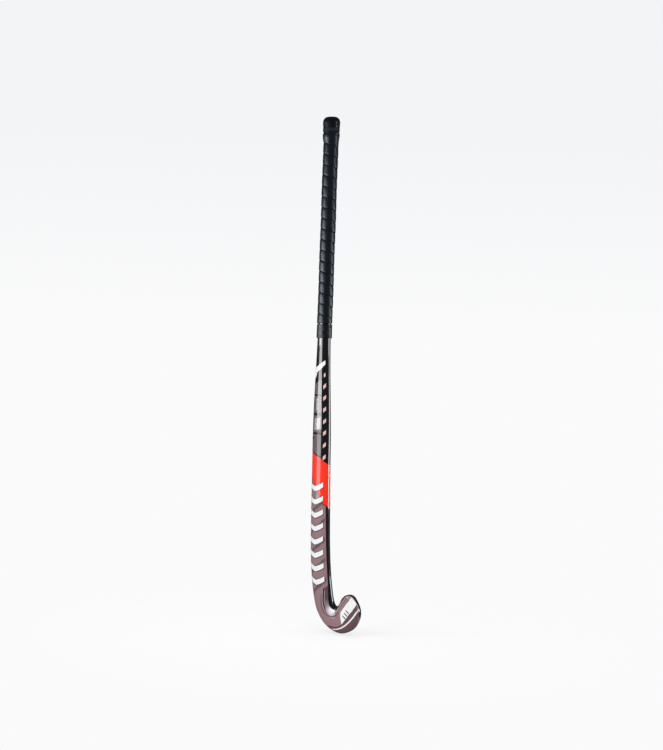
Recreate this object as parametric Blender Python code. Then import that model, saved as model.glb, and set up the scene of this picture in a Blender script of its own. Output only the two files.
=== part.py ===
"""Composite field hockey stick: a hollow moulded shaft and head with its cores, handle plug,
end cap and grip, each as its own closed solid.

Frame: metres, +Z up along the handle. The toe of the head points to +X, the rounded back
faces -Y and the flat playing face looks to +Y. While the pieces are made, x = y = 0 is the
handle's axis; at the end all of them move together, so that the origin is under the middle
of the whole stick's box, at its lowest point.
"""

import math

import bmesh
import bpy
from mathutils import Vector

# ---- driving dimensions, metres ------------------------------------------------------------

LENGTH = 0.927  # 36.5 in senior stick, top of cap to underside of head
GAP = 0.0003  # clearance between pieces that touch on the real stick

# Handle and shaft
HANDLE_HALF_WIDTH = 0.0125
HANDLE_HALF_DEPTH = 0.0101
SHAFT_HALF_WIDTH = 0.0190  # of the full D-section, under the taper
TAPER_TOP = 0.585
TAPER_FOOT = 0.340
ROUND_FOOT = 0.520  # above this height the section is a plain oval
BLEND_TOP = 0.300  # below it the section is the full D, and turns into the head's
SHAFT_FRONT = 0.0095  # handle axis to the flat face
SHAFT_BACK = 0.0098
HEAD_BACK = 0.0088
HANDLE_POWER = 2.0  # exponent of the back's curve: 2 is an ellipse
HEAD_POWER = 2.4
FRONT_CORNER = 0.0064  # radius of the edges of the flat face
MOST_CORNER = 0.95  # of what the toe's thin end has room for
LEAST_CORNER = 0.0008
SHELL_WALL = 0.0022
HEAD_WALL = 0.0030
MOUTH_TOP = 0.921
HEAD_TOP = 0.170  # height where the shaft meets the first rib of the head

# Bow: the shaft leans back from the face, and the flat of the head stays one plane
BOW = 0.017
BOW_START = 0.490
FACE_PLANE_TOP = 0.115

# Ribs of the head from the shaft to the tip of the toe: the point on the outline's heel and
# bottom side, then the point on its bay side, each as (x, z)
HEAD_RIBS = (
    ((-0.0209, 0.1700), (0.0199, 0.1700)),
    ((-0.0205, 0.1300), (0.0212, 0.1300)),
    ((-0.0185, 0.0970), (0.0236, 0.0980)),
    ((-0.0145, 0.0660), (0.0264, 0.0750)),
    ((-0.0058, 0.0350), (0.0290, 0.0605)),
    ((0.0150, 0.0105), (0.0328, 0.0515)),
    ((0.0455, 0.0000), (0.0394, 0.0488)),
    ((0.0735, 0.0092), (0.0454, 0.0542)),
    ((0.0893, 0.0283), (0.0498, 0.0622)),
    ((0.0917, 0.0480), (0.0550, 0.0682)),
    ((0.0805, 0.0685), (0.0622, 0.0720)),
    ((0.0728, 0.0736), (0.0702, 0.0740)),
)
TIP = len(HEAD_RIBS) - 1
TOE_ROUNDING_START = TIP - 1.6  # rib number where the toe begins to thin
TOE_ROUNDING = 0.93  # 1 would bring the tip to a point

# Crease moulded into the back round the bay: a step down to a scooped strip
CREASE_NEAREST = 0.17  # share of the half width, towards the bay, where the crease is deepest in
CREASE_SPREAD = 0.063  # how fast it swings out to the bay's edge, per rib squared
CREASE_FURTHEST = 0.5
CREASE_DEPTH = 0.0012
CREASE_TURN = 0.05  # radians of the back's curve that the step takes
CREASE_START = 2.65  # rib numbers
CREASE_FULL = 2.9
CREASE_MIDDLE = 5.1
CREASE_FADE = 5.9
CREASE_END = 6.4

# Inner pieces
CORE_TUBE_WALL = 0.0009
HEAD_CORE_START = 1.1  # rib number of the foam's top face
CAVITY_END = 9.2  # rib number where the hollow stops, short of the toe's tip
HEAD_CORE_END = 9.1
TUBES_FOOT_RIB = 1.0
TUBES_TOP = 0.7600
FILLER_TOP = 0.8990
PLUG_TOP = 0.9208

# Grip, from the top down
CAP_HALF_WIDTH = 0.0163
CAP_HALF_DEPTH = 0.0142
CAP_DOME_WIDTH = 0.0090  # the cap's edge is a quarter of an ellipse
CAP_DOME_HEIGHT = 0.0102
CAP_TUCK = 0.0006  # how far its side draws in again towards its foot
CAP_FOOT = 0.9072
SKIRT_HALF_WIDTH = 0.0140
SKIRT_HALF_DEPTH = 0.0116
SKIRT_FOOT = 0.8860
BAND_FOOT = 0.9000
BAND_HALF_WIDTH = 0.0159
BAND_HALF_DEPTH = 0.0138
GRIP_HALF_WIDTH = 0.0143
GRIP_HALF_DEPTH = 0.0119
FLARE_HALF_WIDTH = 0.0160
FLARE_HALF_DEPTH = 0.0137
FLARE_FOOT = 0.8800
FLARE_TOP = 0.8935
GRIP_FOOT = 0.5560
WRAP_END_FOOT = 0.5445  # the wrap's thinned end, under the finishing tape
WRAP_END_THICKNESS = 0.0006
TAPE_FOOT = 0.5300
TAPE_HALF_WIDTH_TOP = 0.0147
TAPE_HALF_WIDTH_FOOT = 0.0151
TAPE_HALF_DEPTH = 0.0122

# Facets
CORNER_STEPS = 4
BACK_STEPS = 11
SCOOP_STEPS = 5
RIB_STEPS = 4  # stations from each rib of the head to the next
RING_POINTS = 36  # of the grip's rings
SHAFT_STATIONS = 9
LEAST_SPACING = 0.004  # between two stations of the shaft
RIM_STEPS = 7
MERGE_DISTANCE = 1e-6
SMOOTH_ANGLE = math.radians(35)


# ---- curves --------------------------------------------------------------------------------


def ease(share):
    """0 to 1 with level ends."""
    share = min(1.0, max(0.0, share))
    return share * share * (3 - 2 * share)


def mix(low, high, share):
    return low + (high - low) * share


def bow_at(height):
    """How far the shaft's axis has come forward of the handle's axis at this height."""
    if height >= BOW_START:
        return 0.0
    if height >= FACE_PLANE_TOP:
        return BOW * ((BOW_START - height) / BOW_START) ** 2
    slope = 2 * BOW * (BOW_START - FACE_PLANE_TOP) / BOW_START**2
    return bow_at(FACE_PLANE_TOP) + slope * (FACE_PLANE_TOP - height)


def through(points, place):
    """A point on the smooth curve through the points, at a fractional index."""
    last = len(points) - 1
    start = min(int(place), last - 1)
    share = place - start
    here, there = Vector(points[start]), Vector(points[start + 1])
    before = Vector(points[start - 1]) if start > 0 else 2 * here - there
    after = Vector(points[start + 2]) if start + 2 <= last else 2 * there - here
    return 0.5 * (
        2 * here
        + (there - before) * share
        + (2 * before - 5 * here + 4 * there - after) * share**2
        + (3 * here - before - 3 * there + after) * share**3
    )


# ---- sections of the stick -----------------------------------------------------------------


class Section:
    """A cut through the stick: the two ends of its rib in X and Z, and its shape across it."""

    def __init__(self, heel, bay, front, back, corner, power, rib=0.0):
        self.middle = (heel + bay) / 2
        self.half = (bay - heel).length / 2
        self.across = (bay - heel).normalized()
        self.front = front
        self.back = back
        self.corner = corner
        self.power = power
        swing = CREASE_SPREAD * (rib - CREASE_MIDDLE) ** 2
        self.crease_share = min(CREASE_FURTHEST, CREASE_NEAREST + swing)
        rise = ease((rib - CREASE_START) / (CREASE_FULL - CREASE_START))
        fade = ease((CREASE_END - rib) / (CREASE_END - CREASE_FADE))
        self.crease_depth = CREASE_DEPTH * rise * fade

    def shrunk(self, wall):
        """The same cut, a wall's thickness further in, and without the crease."""
        heel = self.middle - self.across * (self.half - wall)
        bay = self.middle + self.across * (self.half - wall)
        corner = [max(radius - wall, LEAST_CORNER) for radius in self.corner]
        return Section(heel, bay, self.front - wall, self.back - wall, corner, self.power)

    def place(self, across, depth):
        """The point in space at this distance along the rib and this depth, + to the face."""
        flat = self.middle + self.across * across
        return Vector((flat.x, depth + bow_at(flat.y), flat.y))

    def front_corner(self, side):
        """The rounded edge of the flat face, from the stick's side to the face."""
        wide, deep = self.corner
        turns = [math.pi / 2 * step / CORNER_STEPS for step in range(CORNER_STEPS + 1)]
        return [
            (
                side * (self.half - wide + wide * math.cos(turn)),
                self.front - deep + deep * math.sin(turn),
            )
            for turn in turns
        ]

    def back_point(self, turn, lowered=0.0):
        """A point on the rounded back: turn 0 is the bay side, and pi the heel side."""
        base = self.front - self.corner[1]
        share = 2 / self.power
        across = math.copysign(abs(math.cos(turn)) ** share, math.cos(turn)) * self.half
        depth = base - (self.back + base - lowered) * math.sin(turn) ** share
        return across, depth

    def back_curve(self):
        """The rounded back from the heel side to the bay side, with the step of the crease."""
        crease = math.acos(self.crease_share ** (self.power / 2))
        brow = crease + CREASE_TURN
        full = [
            self.back_point(mix(math.pi, brow, step / BACK_STEPS))
            for step in range(1, BACK_STEPS + 1)
        ]
        scoop = [
            self.back_point(
                crease * (1 - step / SCOOP_STEPS),
                self.crease_depth * (1 - step / SCOOP_STEPS),
            )
            for step in range(SCOOP_STEPS)
        ]
        return full + scoop

    def ring(self):
        outline = self.front_corner(1) + self.front_corner(-1)[::-1] + self.back_curve()
        return [self.place(*point) for point in outline]

    def half_ring(self, side, web):
        """One half of the cut, on the bay side (1) or the heel side (-1) of a centre web."""
        corner = self.front_corner(side)[::-1]
        steps = BACK_STEPS // 2
        turns = [math.pi / 2 * step / steps for step in range(1, steps)]
        curve = [self.back_point(turn) for turn in turns]
        back = [(side * across, depth) for across, depth in curve if across > web + GAP]
        deepest = self.back_point(math.pi / 2)[1]
        outline = [(side * web, self.front)] + corner + back + [(side * web, deepest)]
        return [self.place(*point) for point in outline]


def shaft_section(height):
    """The cut at a height above the head: an oval at the handle, a D lower down."""
    taper = ease((TAPER_TOP - height) / (TAPER_TOP - TAPER_FOOT))
    rounding = ease((ROUND_FOOT - height) / (ROUND_FOOT - BLEND_TOP))
    to_head = ease((BLEND_TOP - height) / (BLEND_TOP - HEAD_TOP))
    heel, bay = (Vector(point) for point in HEAD_RIBS[0])
    half = mix(mix(HANDLE_HALF_WIDTH, SHAFT_HALF_WIDTH, taper), (bay - heel).length / 2, to_head)
    middle = mix(0.0, (heel.x + bay.x) / 2, to_head)
    front = mix(HANDLE_HALF_DEPTH, SHAFT_FRONT, rounding)
    back = mix(mix(HANDLE_HALF_DEPTH, SHAFT_BACK, rounding), HEAD_BACK, to_head)
    corner = (mix(half, FRONT_CORNER, rounding), mix(front, FRONT_CORNER, rounding))
    power = mix(HANDLE_POWER, HEAD_POWER, rounding)
    ends = Vector((middle - half, height)), Vector((middle + half, height))
    return Section(*ends, front, back, corner, power)


def head_section(rib):
    """The cut at a rib number of the head, fractions included."""
    heel = through([pair[0] for pair in HEAD_RIBS], rib)
    bay = through([pair[1] for pair in HEAD_RIBS], rib)
    past = max(0.0, (rib - TOE_ROUNDING_START) / (TIP - TOE_ROUNDING_START))
    thin = math.sqrt(1 - (TOE_ROUNDING * past) ** 2)
    room = MOST_CORNER * min((bay - heel).length / 2, SHAFT_FRONT * thin)
    corner = min(FRONT_CORNER, room)
    depths = SHAFT_FRONT * thin, HEAD_BACK * thin
    return Section(heel, bay, *depths, (corner, corner), HEAD_POWER, rib)


def shaft_heights(top, foot):
    """Station heights, close together only where the section changes."""
    middle = [
        mix(TAPER_TOP, HEAD_TOP, step / SHAFT_STATIONS) for step in range(SHAFT_STATIONS + 1)
    ]
    inner = [h for h in middle if foot + LEAST_SPACING < h < top - LEAST_SPACING]
    return [top] + inner + [foot]


def head_ribs(start, end):
    """Rib numbers from the start to the end, a few to each rib."""
    count = round((end - start) * RIB_STEPS)
    return [mix(start, end, step / count) for step in range(count + 1)]


# ---- solids from rings ---------------------------------------------------------------------


def ring_on(bm, points):
    """A first closed ring of edges."""
    made = bmesh.ops.create_circle(bm, segments=len(points), radius=1)["verts"]
    for vertex, point in zip(made, points):
        vertex.co = point
    return made


def carry_on(bm, ring, points):
    """Extrudes the ring's edges to the next ring of points."""
    edges = [bm.edges.get((ring[i - 1], ring[i])) for i in range(len(ring))]
    made = bmesh.ops.extrude_edge_only(bm, edges=edges)["geom"]
    fresh = {item for item in made if isinstance(item, bmesh.types.BMVert)}
    following = []
    for vertex, point in zip(ring, points):
        around = [edge.other_vert(vertex) for edge in vertex.link_edges]
        partner = next(other for other in around if other in fresh)
        partner.co = point
        following.append(partner)
    return following


def add_object(name, bm, finish):
    bmesh.ops.recalc_face_normals(bm, faces=bm.faces)
    mesh = bpy.data.meshes.new(name)
    bm.to_mesh(mesh)
    bm.free()
    mesh.materials.append(finish)
    mesh.shade_smooth()
    mesh.set_sharp_from_angle(angle=SMOOTH_ANGLE)
    made = bpy.data.objects.new(name, mesh)
    bpy.context.scene.collection.objects.link(made)
    return made


def solid(name, rings, finish):
    """A solid skinned over the rings, closed by a flat face at each end."""
    bm = bmesh.new()
    ring = first = ring_on(bm, rings[0])
    for points in rings[1:]:
        ring = carry_on(bm, ring, points)
    for end in (first, ring):
        bm.faces.new(end)
    return add_object(name, bm, finish)


def sleeve(name, outside, inside, finish):
    """A tube open at both ends: up its outer rings, then down its inner ones to the start."""
    bm = bmesh.new()
    ring = ring_on(bm, outside[0])
    for points in outside[1:] + inside[::-1] + outside[:1]:
        ring = carry_on(bm, ring, points)
    bmesh.ops.remove_doubles(bm, verts=bm.verts, dist=MERGE_DISTANCE)
    return add_object(name, bm, finish)


def oval(half_width, half_depth, height):
    """A level ring round the handle's axis."""
    turns = [2 * math.pi * step / RING_POINTS for step in range(RING_POINTS)]
    return [
        Vector((half_width * math.cos(turn), half_depth * math.sin(turn), height))
        for turn in turns
    ]


def finish(name, colour, roughness, metallic=0.0):
    """A plain surface finish."""
    material = bpy.data.materials.new(name)
    material.use_nodes = True
    shader = material.node_tree.nodes["Principled BSDF"]
    shader.inputs["Base Color"].default_value = (*colour, 1)
    shader.inputs["Roughness"].default_value = roughness
    shader.inputs["Metallic"].default_value = metallic
    return material


# ---- the pieces ----------------------------------------------------------------------------


def shaft_and_head():
    """The moulded shell: up its outside from the toe to the mouth, then down the hollow."""
    ribs = head_ribs(0, TIP)
    heights = shaft_heights(MOUTH_TOP, HEAD_TOP)
    outside = [head_section(rib).ring() for rib in reversed(ribs)]
    outside += [shaft_section(height).ring() for height in reversed(heights[:-1])]
    hollow = [shaft_section(height).shrunk(SHELL_WALL).ring() for height in heights[:-1]]
    hollow += [cavity(rib).ring() for rib in head_ribs(0, CAVITY_END)]
    paint = finish("gloss_black_lacquer", (0.012, 0.013, 0.016), 0.15)
    return solid("shaft_and_head", outside + hollow, paint)


def cavity(rib, inset=0.0):
    """The hollow of the head at a rib: the wall thickens from the shaft's to the head's."""
    wall = mix(SHELL_WALL, HEAD_WALL, ease(rib / HEAD_CORE_START))
    return head_section(rib).shrunk(wall + inset)


def head_core():
    """Foam that fills the curved head."""
    rings = [cavity(rib, GAP).ring() for rib in head_ribs(HEAD_CORE_START, HEAD_CORE_END)]
    foam = finish("head_foam", (0.75, 0.66, 0.45), 0.9)
    return solid("head_core", rings, foam)


def core_tube(name, side):
    """One of the two thin-walled tubes whose facing walls make the shaft's centre web."""
    heights = shaft_heights(TUBES_TOP, HEAD_TOP)
    outer = [shaft_section(height).shrunk(SHELL_WALL + GAP) for height in heights[:-1]]
    outer += [cavity(rib, GAP) for rib in head_ribs(0, TUBES_FOOT_RIB)]
    inner = [section.shrunk(CORE_TUBE_WALL) for section in outer]
    web = GAP / 2
    outside = [section.half_ring(side, web) for section in outer]
    inside = [section.half_ring(side, web + CORE_TUBE_WALL) for section in inner]
    laminate = finish("core_laminate", (0.05, 0.05, 0.055), 0.55)
    return sleeve(name, outside, inside, laminate)


def handle_filler():
    """Light foam block inside the handle, above the core tubes."""
    heights = (TUBES_TOP + GAP, FILLER_TOP)
    rings = [shaft_section(height).shrunk(SHELL_WALL + GAP).ring() for height in heights]
    foam = finish("filler_foam", (0.80, 0.78, 0.70), 0.95)
    return solid("handle_filler", rings, foam)


def end_plug():
    """Hard plug pressed into the handle's mouth."""
    heights = (FILLER_TOP + GAP, PLUG_TOP)
    rings = [shaft_section(height).shrunk(SHELL_WALL + GAP).ring() for height in heights]
    nylon = finish("plug_nylon", (0.30, 0.30, 0.31), 0.6)
    return solid("end_plug", rings, nylon)


def end_cap():
    """Rubber cap with a domed top, and a thinner skirt that the grip is wound over."""
    rings = [
        oval(SKIRT_HALF_WIDTH, SKIRT_HALF_DEPTH, SKIRT_FOOT),
        oval(SKIRT_HALF_WIDTH, SKIRT_HALF_DEPTH, CAP_FOOT),
        oval(CAP_HALF_WIDTH - CAP_TUCK, CAP_HALF_DEPTH - CAP_TUCK, CAP_FOOT),
    ]
    for step in range(RIM_STEPS + 1):
        turn = math.pi / 2 * step / RIM_STEPS
        drop = CAP_DOME_WIDTH * (1 - math.cos(turn))
        height = LENGTH - CAP_DOME_HEIGHT + CAP_DOME_HEIGHT * math.sin(turn)
        rings.append(oval(CAP_HALF_WIDTH - drop, CAP_HALF_DEPTH - drop, height))
    inside = [
        oval(HANDLE_HALF_WIDTH + GAP, HANDLE_HALF_DEPTH + GAP, MOUTH_TOP + GAP),
        oval(HANDLE_HALF_WIDTH + GAP, HANDLE_HALF_DEPTH + GAP, SKIRT_FOOT),
    ]
    rubber = finish("gloss_black_rubber", (0.010, 0.010, 0.012), 0.25)
    return solid("end_cap", rings[::-1] + inside[::-1], rubber)


def grip_top_band():
    """Narrow collar between the cap's rim and the first turn of the grip."""
    outside = [
        oval(BAND_HALF_WIDTH, BAND_HALF_DEPTH, height)
        for height in (BAND_FOOT, CAP_FOOT - GAP)
    ]
    inside = [
        oval(SKIRT_HALF_WIDTH + GAP, SKIRT_HALF_DEPTH + GAP, height)
        for height in (BAND_FOOT, CAP_FOOT - GAP)
    ]
    tape = finish("matt_black_band", (0.016, 0.016, 0.018), 0.7)
    return sleeve("grip_top_band", outside, inside, tape)


def handle_oval(height, thickness):
    """A ring that follows the bare handle at a distance."""
    bare = shaft_section(height)
    return oval(bare.half + thickness, bare.front + thickness, height)


def grip_wrap():
    """Cushioned tape wound round the handle, over the cap's skirt at the top."""
    outside = [
        handle_oval(WRAP_END_FOOT, GAP + WRAP_END_THICKNESS),
        handle_oval(GRIP_FOOT - 2 * GAP, GAP + WRAP_END_THICKNESS),
        oval(GRIP_HALF_WIDTH, GRIP_HALF_DEPTH, GRIP_FOOT),
        oval(GRIP_HALF_WIDTH, GRIP_HALF_DEPTH, FLARE_FOOT),
        oval(FLARE_HALF_WIDTH, FLARE_HALF_DEPTH, FLARE_TOP),
        oval(FLARE_HALF_WIDTH, FLARE_HALF_DEPTH, BAND_FOOT - GAP),
    ]
    inside = [
        handle_oval(WRAP_END_FOOT, GAP),
        handle_oval(GRIP_FOOT, GAP),
        handle_oval(TAPER_TOP, GAP),
        handle_oval(SKIRT_FOOT - 2 * GAP, GAP),
        oval(SKIRT_HALF_WIDTH + GAP, SKIRT_HALF_DEPTH + GAP, SKIRT_FOOT - GAP),
        oval(SKIRT_HALF_WIDTH + GAP, SKIRT_HALF_DEPTH + GAP, BAND_FOOT - GAP),
    ]
    leather = finish("black_grip_leather", (0.014, 0.015, 0.018), 0.5)
    return sleeve("grip_wrap", outside, inside, leather)


def finishing_tape():
    """Tape ring that binds the lower end of the grip to the shaft."""
    over_wrap = 2 * GAP + WRAP_END_THICKNESS
    outside = [
        oval(TAPE_HALF_WIDTH_FOOT, TAPE_HALF_DEPTH, TAPE_FOOT),
        oval(TAPE_HALF_WIDTH_TOP, TAPE_HALF_DEPTH, GRIP_FOOT - 3 * GAP),
    ]
    inside = [
        handle_oval(TAPE_FOOT, GAP),
        handle_oval(WRAP_END_FOOT - 2 * GAP, GAP),
        handle_oval(WRAP_END_FOOT - GAP, over_wrap),
        handle_oval(GRIP_FOOT - 3 * GAP, over_wrap),
    ]
    tape = finish("black_finishing_tape", (0.012, 0.012, 0.014), 0.45)
    return sleeve("finishing_tape", outside, inside, tape)


def stand_on_origin(pieces):
    """Moves all pieces so that the origin is the bottom centre of the stick's box."""
    corners = [vertex.co for piece in pieces for vertex in piece.data.vertices]
    low = [min(corner[axis] for corner in corners) for axis in range(3)]
    high = [max(corner[axis] for corner in corners) for axis in range(3)]
    centre = Vector(((low[0] + high[0]) / 2, (low[1] + high[1]) / 2, low[2]))
    for piece in pieces:
        for vertex in piece.data.vertices:
            vertex.co -= centre


def main():
    for old in list(bpy.data.objects):
        bpy.data.objects.remove(old)
    pieces = [
        shaft_and_head(),
        head_core(),
        core_tube("core_tube_heel_side", -1),
        core_tube("core_tube_toe_side", 1),
        handle_filler(),
        end_plug(),
        end_cap(),
        grip_top_band(),
        grip_wrap(),
        finishing_tape(),
    ]
    stand_on_origin(pieces)


main()
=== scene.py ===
"""Composite field hockey stick, finished for a studio picture over its CAD frame.

The moulded shell is skinned again with finer stations, its painted graphics and the painted
highlights and shade of its crease are thin films laid on it, and the handle gets a wound grip
with real overlapping edges, a collar, a cap and a finishing tape. Metres, +Z up along the handle, toe
to +X, rounded back to -Y.
"""

import functools
import math

import bmesh
import bpy
from mathutils import Matrix, Vector


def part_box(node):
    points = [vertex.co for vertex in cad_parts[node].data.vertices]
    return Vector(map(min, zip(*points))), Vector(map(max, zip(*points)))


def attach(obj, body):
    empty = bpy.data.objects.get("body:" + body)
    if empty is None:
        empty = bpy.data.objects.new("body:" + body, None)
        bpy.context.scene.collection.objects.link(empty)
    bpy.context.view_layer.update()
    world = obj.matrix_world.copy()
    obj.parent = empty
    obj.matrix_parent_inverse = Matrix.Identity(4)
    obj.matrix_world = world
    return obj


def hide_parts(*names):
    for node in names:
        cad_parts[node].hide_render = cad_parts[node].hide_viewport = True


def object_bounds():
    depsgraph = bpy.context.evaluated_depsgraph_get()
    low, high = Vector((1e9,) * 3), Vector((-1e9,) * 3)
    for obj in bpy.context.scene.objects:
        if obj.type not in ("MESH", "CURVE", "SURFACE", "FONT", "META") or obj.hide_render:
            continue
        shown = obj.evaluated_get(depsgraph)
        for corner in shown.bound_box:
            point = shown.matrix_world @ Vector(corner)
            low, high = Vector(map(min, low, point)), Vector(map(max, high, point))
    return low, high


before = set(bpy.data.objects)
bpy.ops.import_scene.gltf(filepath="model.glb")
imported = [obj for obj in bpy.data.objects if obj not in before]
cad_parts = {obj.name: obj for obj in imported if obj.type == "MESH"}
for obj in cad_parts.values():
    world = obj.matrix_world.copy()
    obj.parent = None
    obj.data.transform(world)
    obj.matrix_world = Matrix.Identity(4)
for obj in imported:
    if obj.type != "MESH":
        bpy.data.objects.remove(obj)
cad_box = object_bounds()
scene = bpy.context.scene

# ---- camera --------------------------------------------------------------------------------

CAMERA_AZIMUTH = math.radians(39.71)
CAMERA_ELEVATION = math.radians(1.639)
CAMERA_ROLL = math.radians(1.997)
CAMERA_DISTANCE = 3.0
CAMERA_LENS = 80.41  # mm, on a 36 mm sensor's long side
AIM_RIGHT = -0.01551  # of the stick's middle line, across the view
AIM_HEIGHT = 0.4635
AIM_UP = 0.00119


def make_camera():
    turn, rise, roll = CAMERA_AZIMUTH, CAMERA_ELEVATION, CAMERA_ROLL
    back = Vector(
        (math.sin(turn) * math.cos(rise), -math.cos(turn) * math.cos(rise), math.sin(rise))
    )
    right = Vector((math.cos(turn), math.sin(turn), 0))
    up = back.cross(right)
    aim = Vector((0, 0, AIM_HEIGHT)) + right * AIM_RIGHT + up * AIM_UP
    side = right * math.cos(roll) + up * math.sin(roll)
    top = up * math.cos(roll) - right * math.sin(roll)
    data = bpy.data.cameras.new("camera")
    data.lens = CAMERA_LENS
    data.sensor_width = 36
    camera = bpy.data.objects.new("camera", data)
    place = Matrix((side, top, back)).transposed().to_4x4()
    place.translation = aim + back * CAMERA_DISTANCE
    camera.matrix_world = place
    scene.collection.objects.link(camera)
    scene.camera = camera


make_camera()

# ---- the stick's own dimensions, as its CAD has them ---------------------------------------

HANDLE_HALF_WIDTH = 0.0125
HANDLE_HALF_DEPTH = 0.0101
SHAFT_HALF_WIDTH = 0.0190
TAPER_TOP = 0.585
TAPER_FOOT = 0.340
ROUND_FOOT = 0.520
BLEND_TOP = 0.300
SHAFT_FRONT = 0.0095
SHAFT_BACK = 0.0098
HEAD_BACK = 0.0088
HANDLE_POWER = 2.0
HEAD_POWER = 2.4
FRONT_CORNER = 0.0064
MOST_CORNER = 0.95
LEAST_CORNER = 0.0008
SHELL_WALL = 0.0022
HEAD_WALL = 0.0030
MOUTH_TOP = 0.921
HEAD_TOP = 0.170
BOW = 0.017
BOW_START = 0.490
FACE_PLANE_TOP = 0.115
HEAD_RIBS = (
    ((-0.0209, 0.1700), (0.0199, 0.1700)),
    ((-0.0205, 0.1300), (0.0212, 0.1300)),
    ((-0.0185, 0.0970), (0.0236, 0.0980)),
    ((-0.0145, 0.0660), (0.0264, 0.0750)),
    ((-0.0058, 0.0350), (0.0290, 0.0605)),
    ((0.0150, 0.0105), (0.0328, 0.0515)),
    ((0.0455, 0.0000), (0.0394, 0.0488)),
    ((0.0735, 0.0092), (0.0454, 0.0542)),
    ((0.0893, 0.0283), (0.0498, 0.0622)),
    ((0.0917, 0.0480), (0.0550, 0.0682)),
    ((0.0805, 0.0685), (0.0622, 0.0720)),
    ((0.0728, 0.0736), (0.0702, 0.0740)),
)
TIP = len(HEAD_RIBS) - 1
TOE_ROUNDING_START = TIP - 1.6
TOE_ROUNDING = 0.93
CREASE_NEAREST = 0.17
CREASE_SPREAD = 0.063
CREASE_FURTHEST = 0.5
CREASE_DEPTH = 0.0012
CREASE_TURN = 0.05
CREASE_START = 2.65
CREASE_FULL = 2.9
CREASE_MIDDLE = 5.1
CREASE_FADE = 5.9
CREASE_END = 6.4
CAVITY_END = 9.2
CAVITY_BLEND = 1.1

# Grip, from the top down
CAP_HALF_WIDTH = 0.0163
CAP_HALF_DEPTH = 0.0142
CAP_DOME_WIDTH = 0.0090
CAP_DOME_HEIGHT = 0.0102
CAP_TUCK = 0.0006
CAP_FOOT = 0.9072
SKIRT_HALF_WIDTH = 0.0140
SKIRT_HALF_DEPTH = 0.0116
SKIRT_FOOT = 0.8860
BAND_TOP = 0.9069
BAND_FOOT = 0.9000
BAND_HALF_WIDTH = 0.0159
BAND_HALF_DEPTH = 0.0138
GRIP_HALF_WIDTH = 0.0143
GRIP_HALF_DEPTH = 0.0119
FLARE = 0.0017  # more of the grip's half width and half depth at its top
FLARE_FOOT = 0.8800
FLARE_TOP = 0.8935
GRIP_TOP = 0.8996
GRIP_FOOT = 0.5562
TAPE_TOP = 0.5551
TAPE_FOOT = 0.5300
TAPE_HALF_WIDTH_TOP = 0.0147
TAPE_HALF_WIDTH_FOOT = 0.0151
TAPE_HALF_DEPTH = 0.0122
TAPE_INSIDE = (0.0134, 0.0110)

# Positions along the stick are rib numbers on the head, and below zero up the shaft, where
# one step is this many metres
SHAFT_STEP = 0.040

# Positions round the stick: the bay's rounded corner from -1 to 0, the scooped strip to 2, the
# crease's step to 3, the rounded back to 8, the heel's rounded corner to 9, the flat face to 10
CORNER_START = -1.0
SCOOP_START = 0.0
STEP_START = 2.0
BACK_START = 3.0
HEEL_START = 8.0
FACE_START = 9.0
ROUND_END = 10.0
LINES_PER_PART = ((CORNER_START, 8), (SCOOP_START, 20), (STEP_START, 6), (BACK_START, 36),
                  (HEEL_START, 8), (FACE_START, 10))  # fmt: skip

# How many lines across the stick the shell has in its toe, head, tapering shaft and handle
TOE_LINES = 44
HEAD_LINES = 150
SHAFT_LINES = 80
HANDLE_LINES = 12
HOLLOW_SHAFT_LINES = 24
HOLLOW_HEAD_LINES = 40

FILM = 0.00007  # thickness of one layer of paint or transfer
SETBACK = 0.00028  # of the bare shell, so that the paint comes up to the stick's true surface
SMOOTH_ANGLE = math.radians(35)
SKIN_STEP = 1e-4  # between the neighbours that give the surface's slope at a point
BACK_STEP = 1e-3  # the same, where only the rounded back is asked for


def handle_axis():
    """Where the handle's axis stands in the row frame: all shapes are made round it."""
    low, high = (Vector(corner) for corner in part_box("end_cap"))
    middle = (low + high) / 2
    return Vector((middle.x, middle.y, 0))


AXIS = handle_axis()


# ---- curves --------------------------------------------------------------------------------


def ease(share):
    """0 to 1 with level ends."""
    share = min(1.0, max(0.0, share))
    return share * share * (3 - 2 * share)


def mix(low, high, share):
    return low + (high - low) * share


def bow_at(height):
    """How far the shaft's axis has come forward of the handle's axis at this height."""
    if height >= BOW_START:
        return 0.0
    if height >= FACE_PLANE_TOP:
        return BOW * ((BOW_START - height) / BOW_START) ** 2
    slope = 2 * BOW * (BOW_START - FACE_PLANE_TOP) / BOW_START**2
    return bow_at(FACE_PLANE_TOP) + slope * (FACE_PLANE_TOP - height)


def through(points, place):
    """A point on the smooth curve through the points, at a fractional index."""
    last = len(points) - 1
    start = min(max(int(place), 0), last - 1)
    share = place - start
    here, there = Vector(points[start]), Vector(points[start + 1])
    before = Vector(points[start - 1]) if start > 0 else 2 * here - there
    after = Vector(points[start + 2]) if start + 2 <= last else 2 * there - here
    return 0.5 * (
        2 * here
        + (there - before) * share
        + (2 * before - 5 * here + 4 * there - after) * share**2
        + (3 * here - before - 3 * there + after) * share**3
    )


def smooth_line(points, steps):
    """Points on the smooth curve through the points, with some steps from each to the next."""
    count = (len(points) - 1) * steps
    return [through(points, index / steps) for index in range(count + 1)]


def straight_line(points, steps):
    """Points along the straight runs from each point to the next."""
    line = [Vector(points[0])]
    for start, end in zip(points, points[1:]):
        line += [Vector(start).lerp(Vector(end), (step + 1) / steps) for step in range(steps)]
    return line


# ---- sections of the stick -----------------------------------------------------------------


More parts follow.
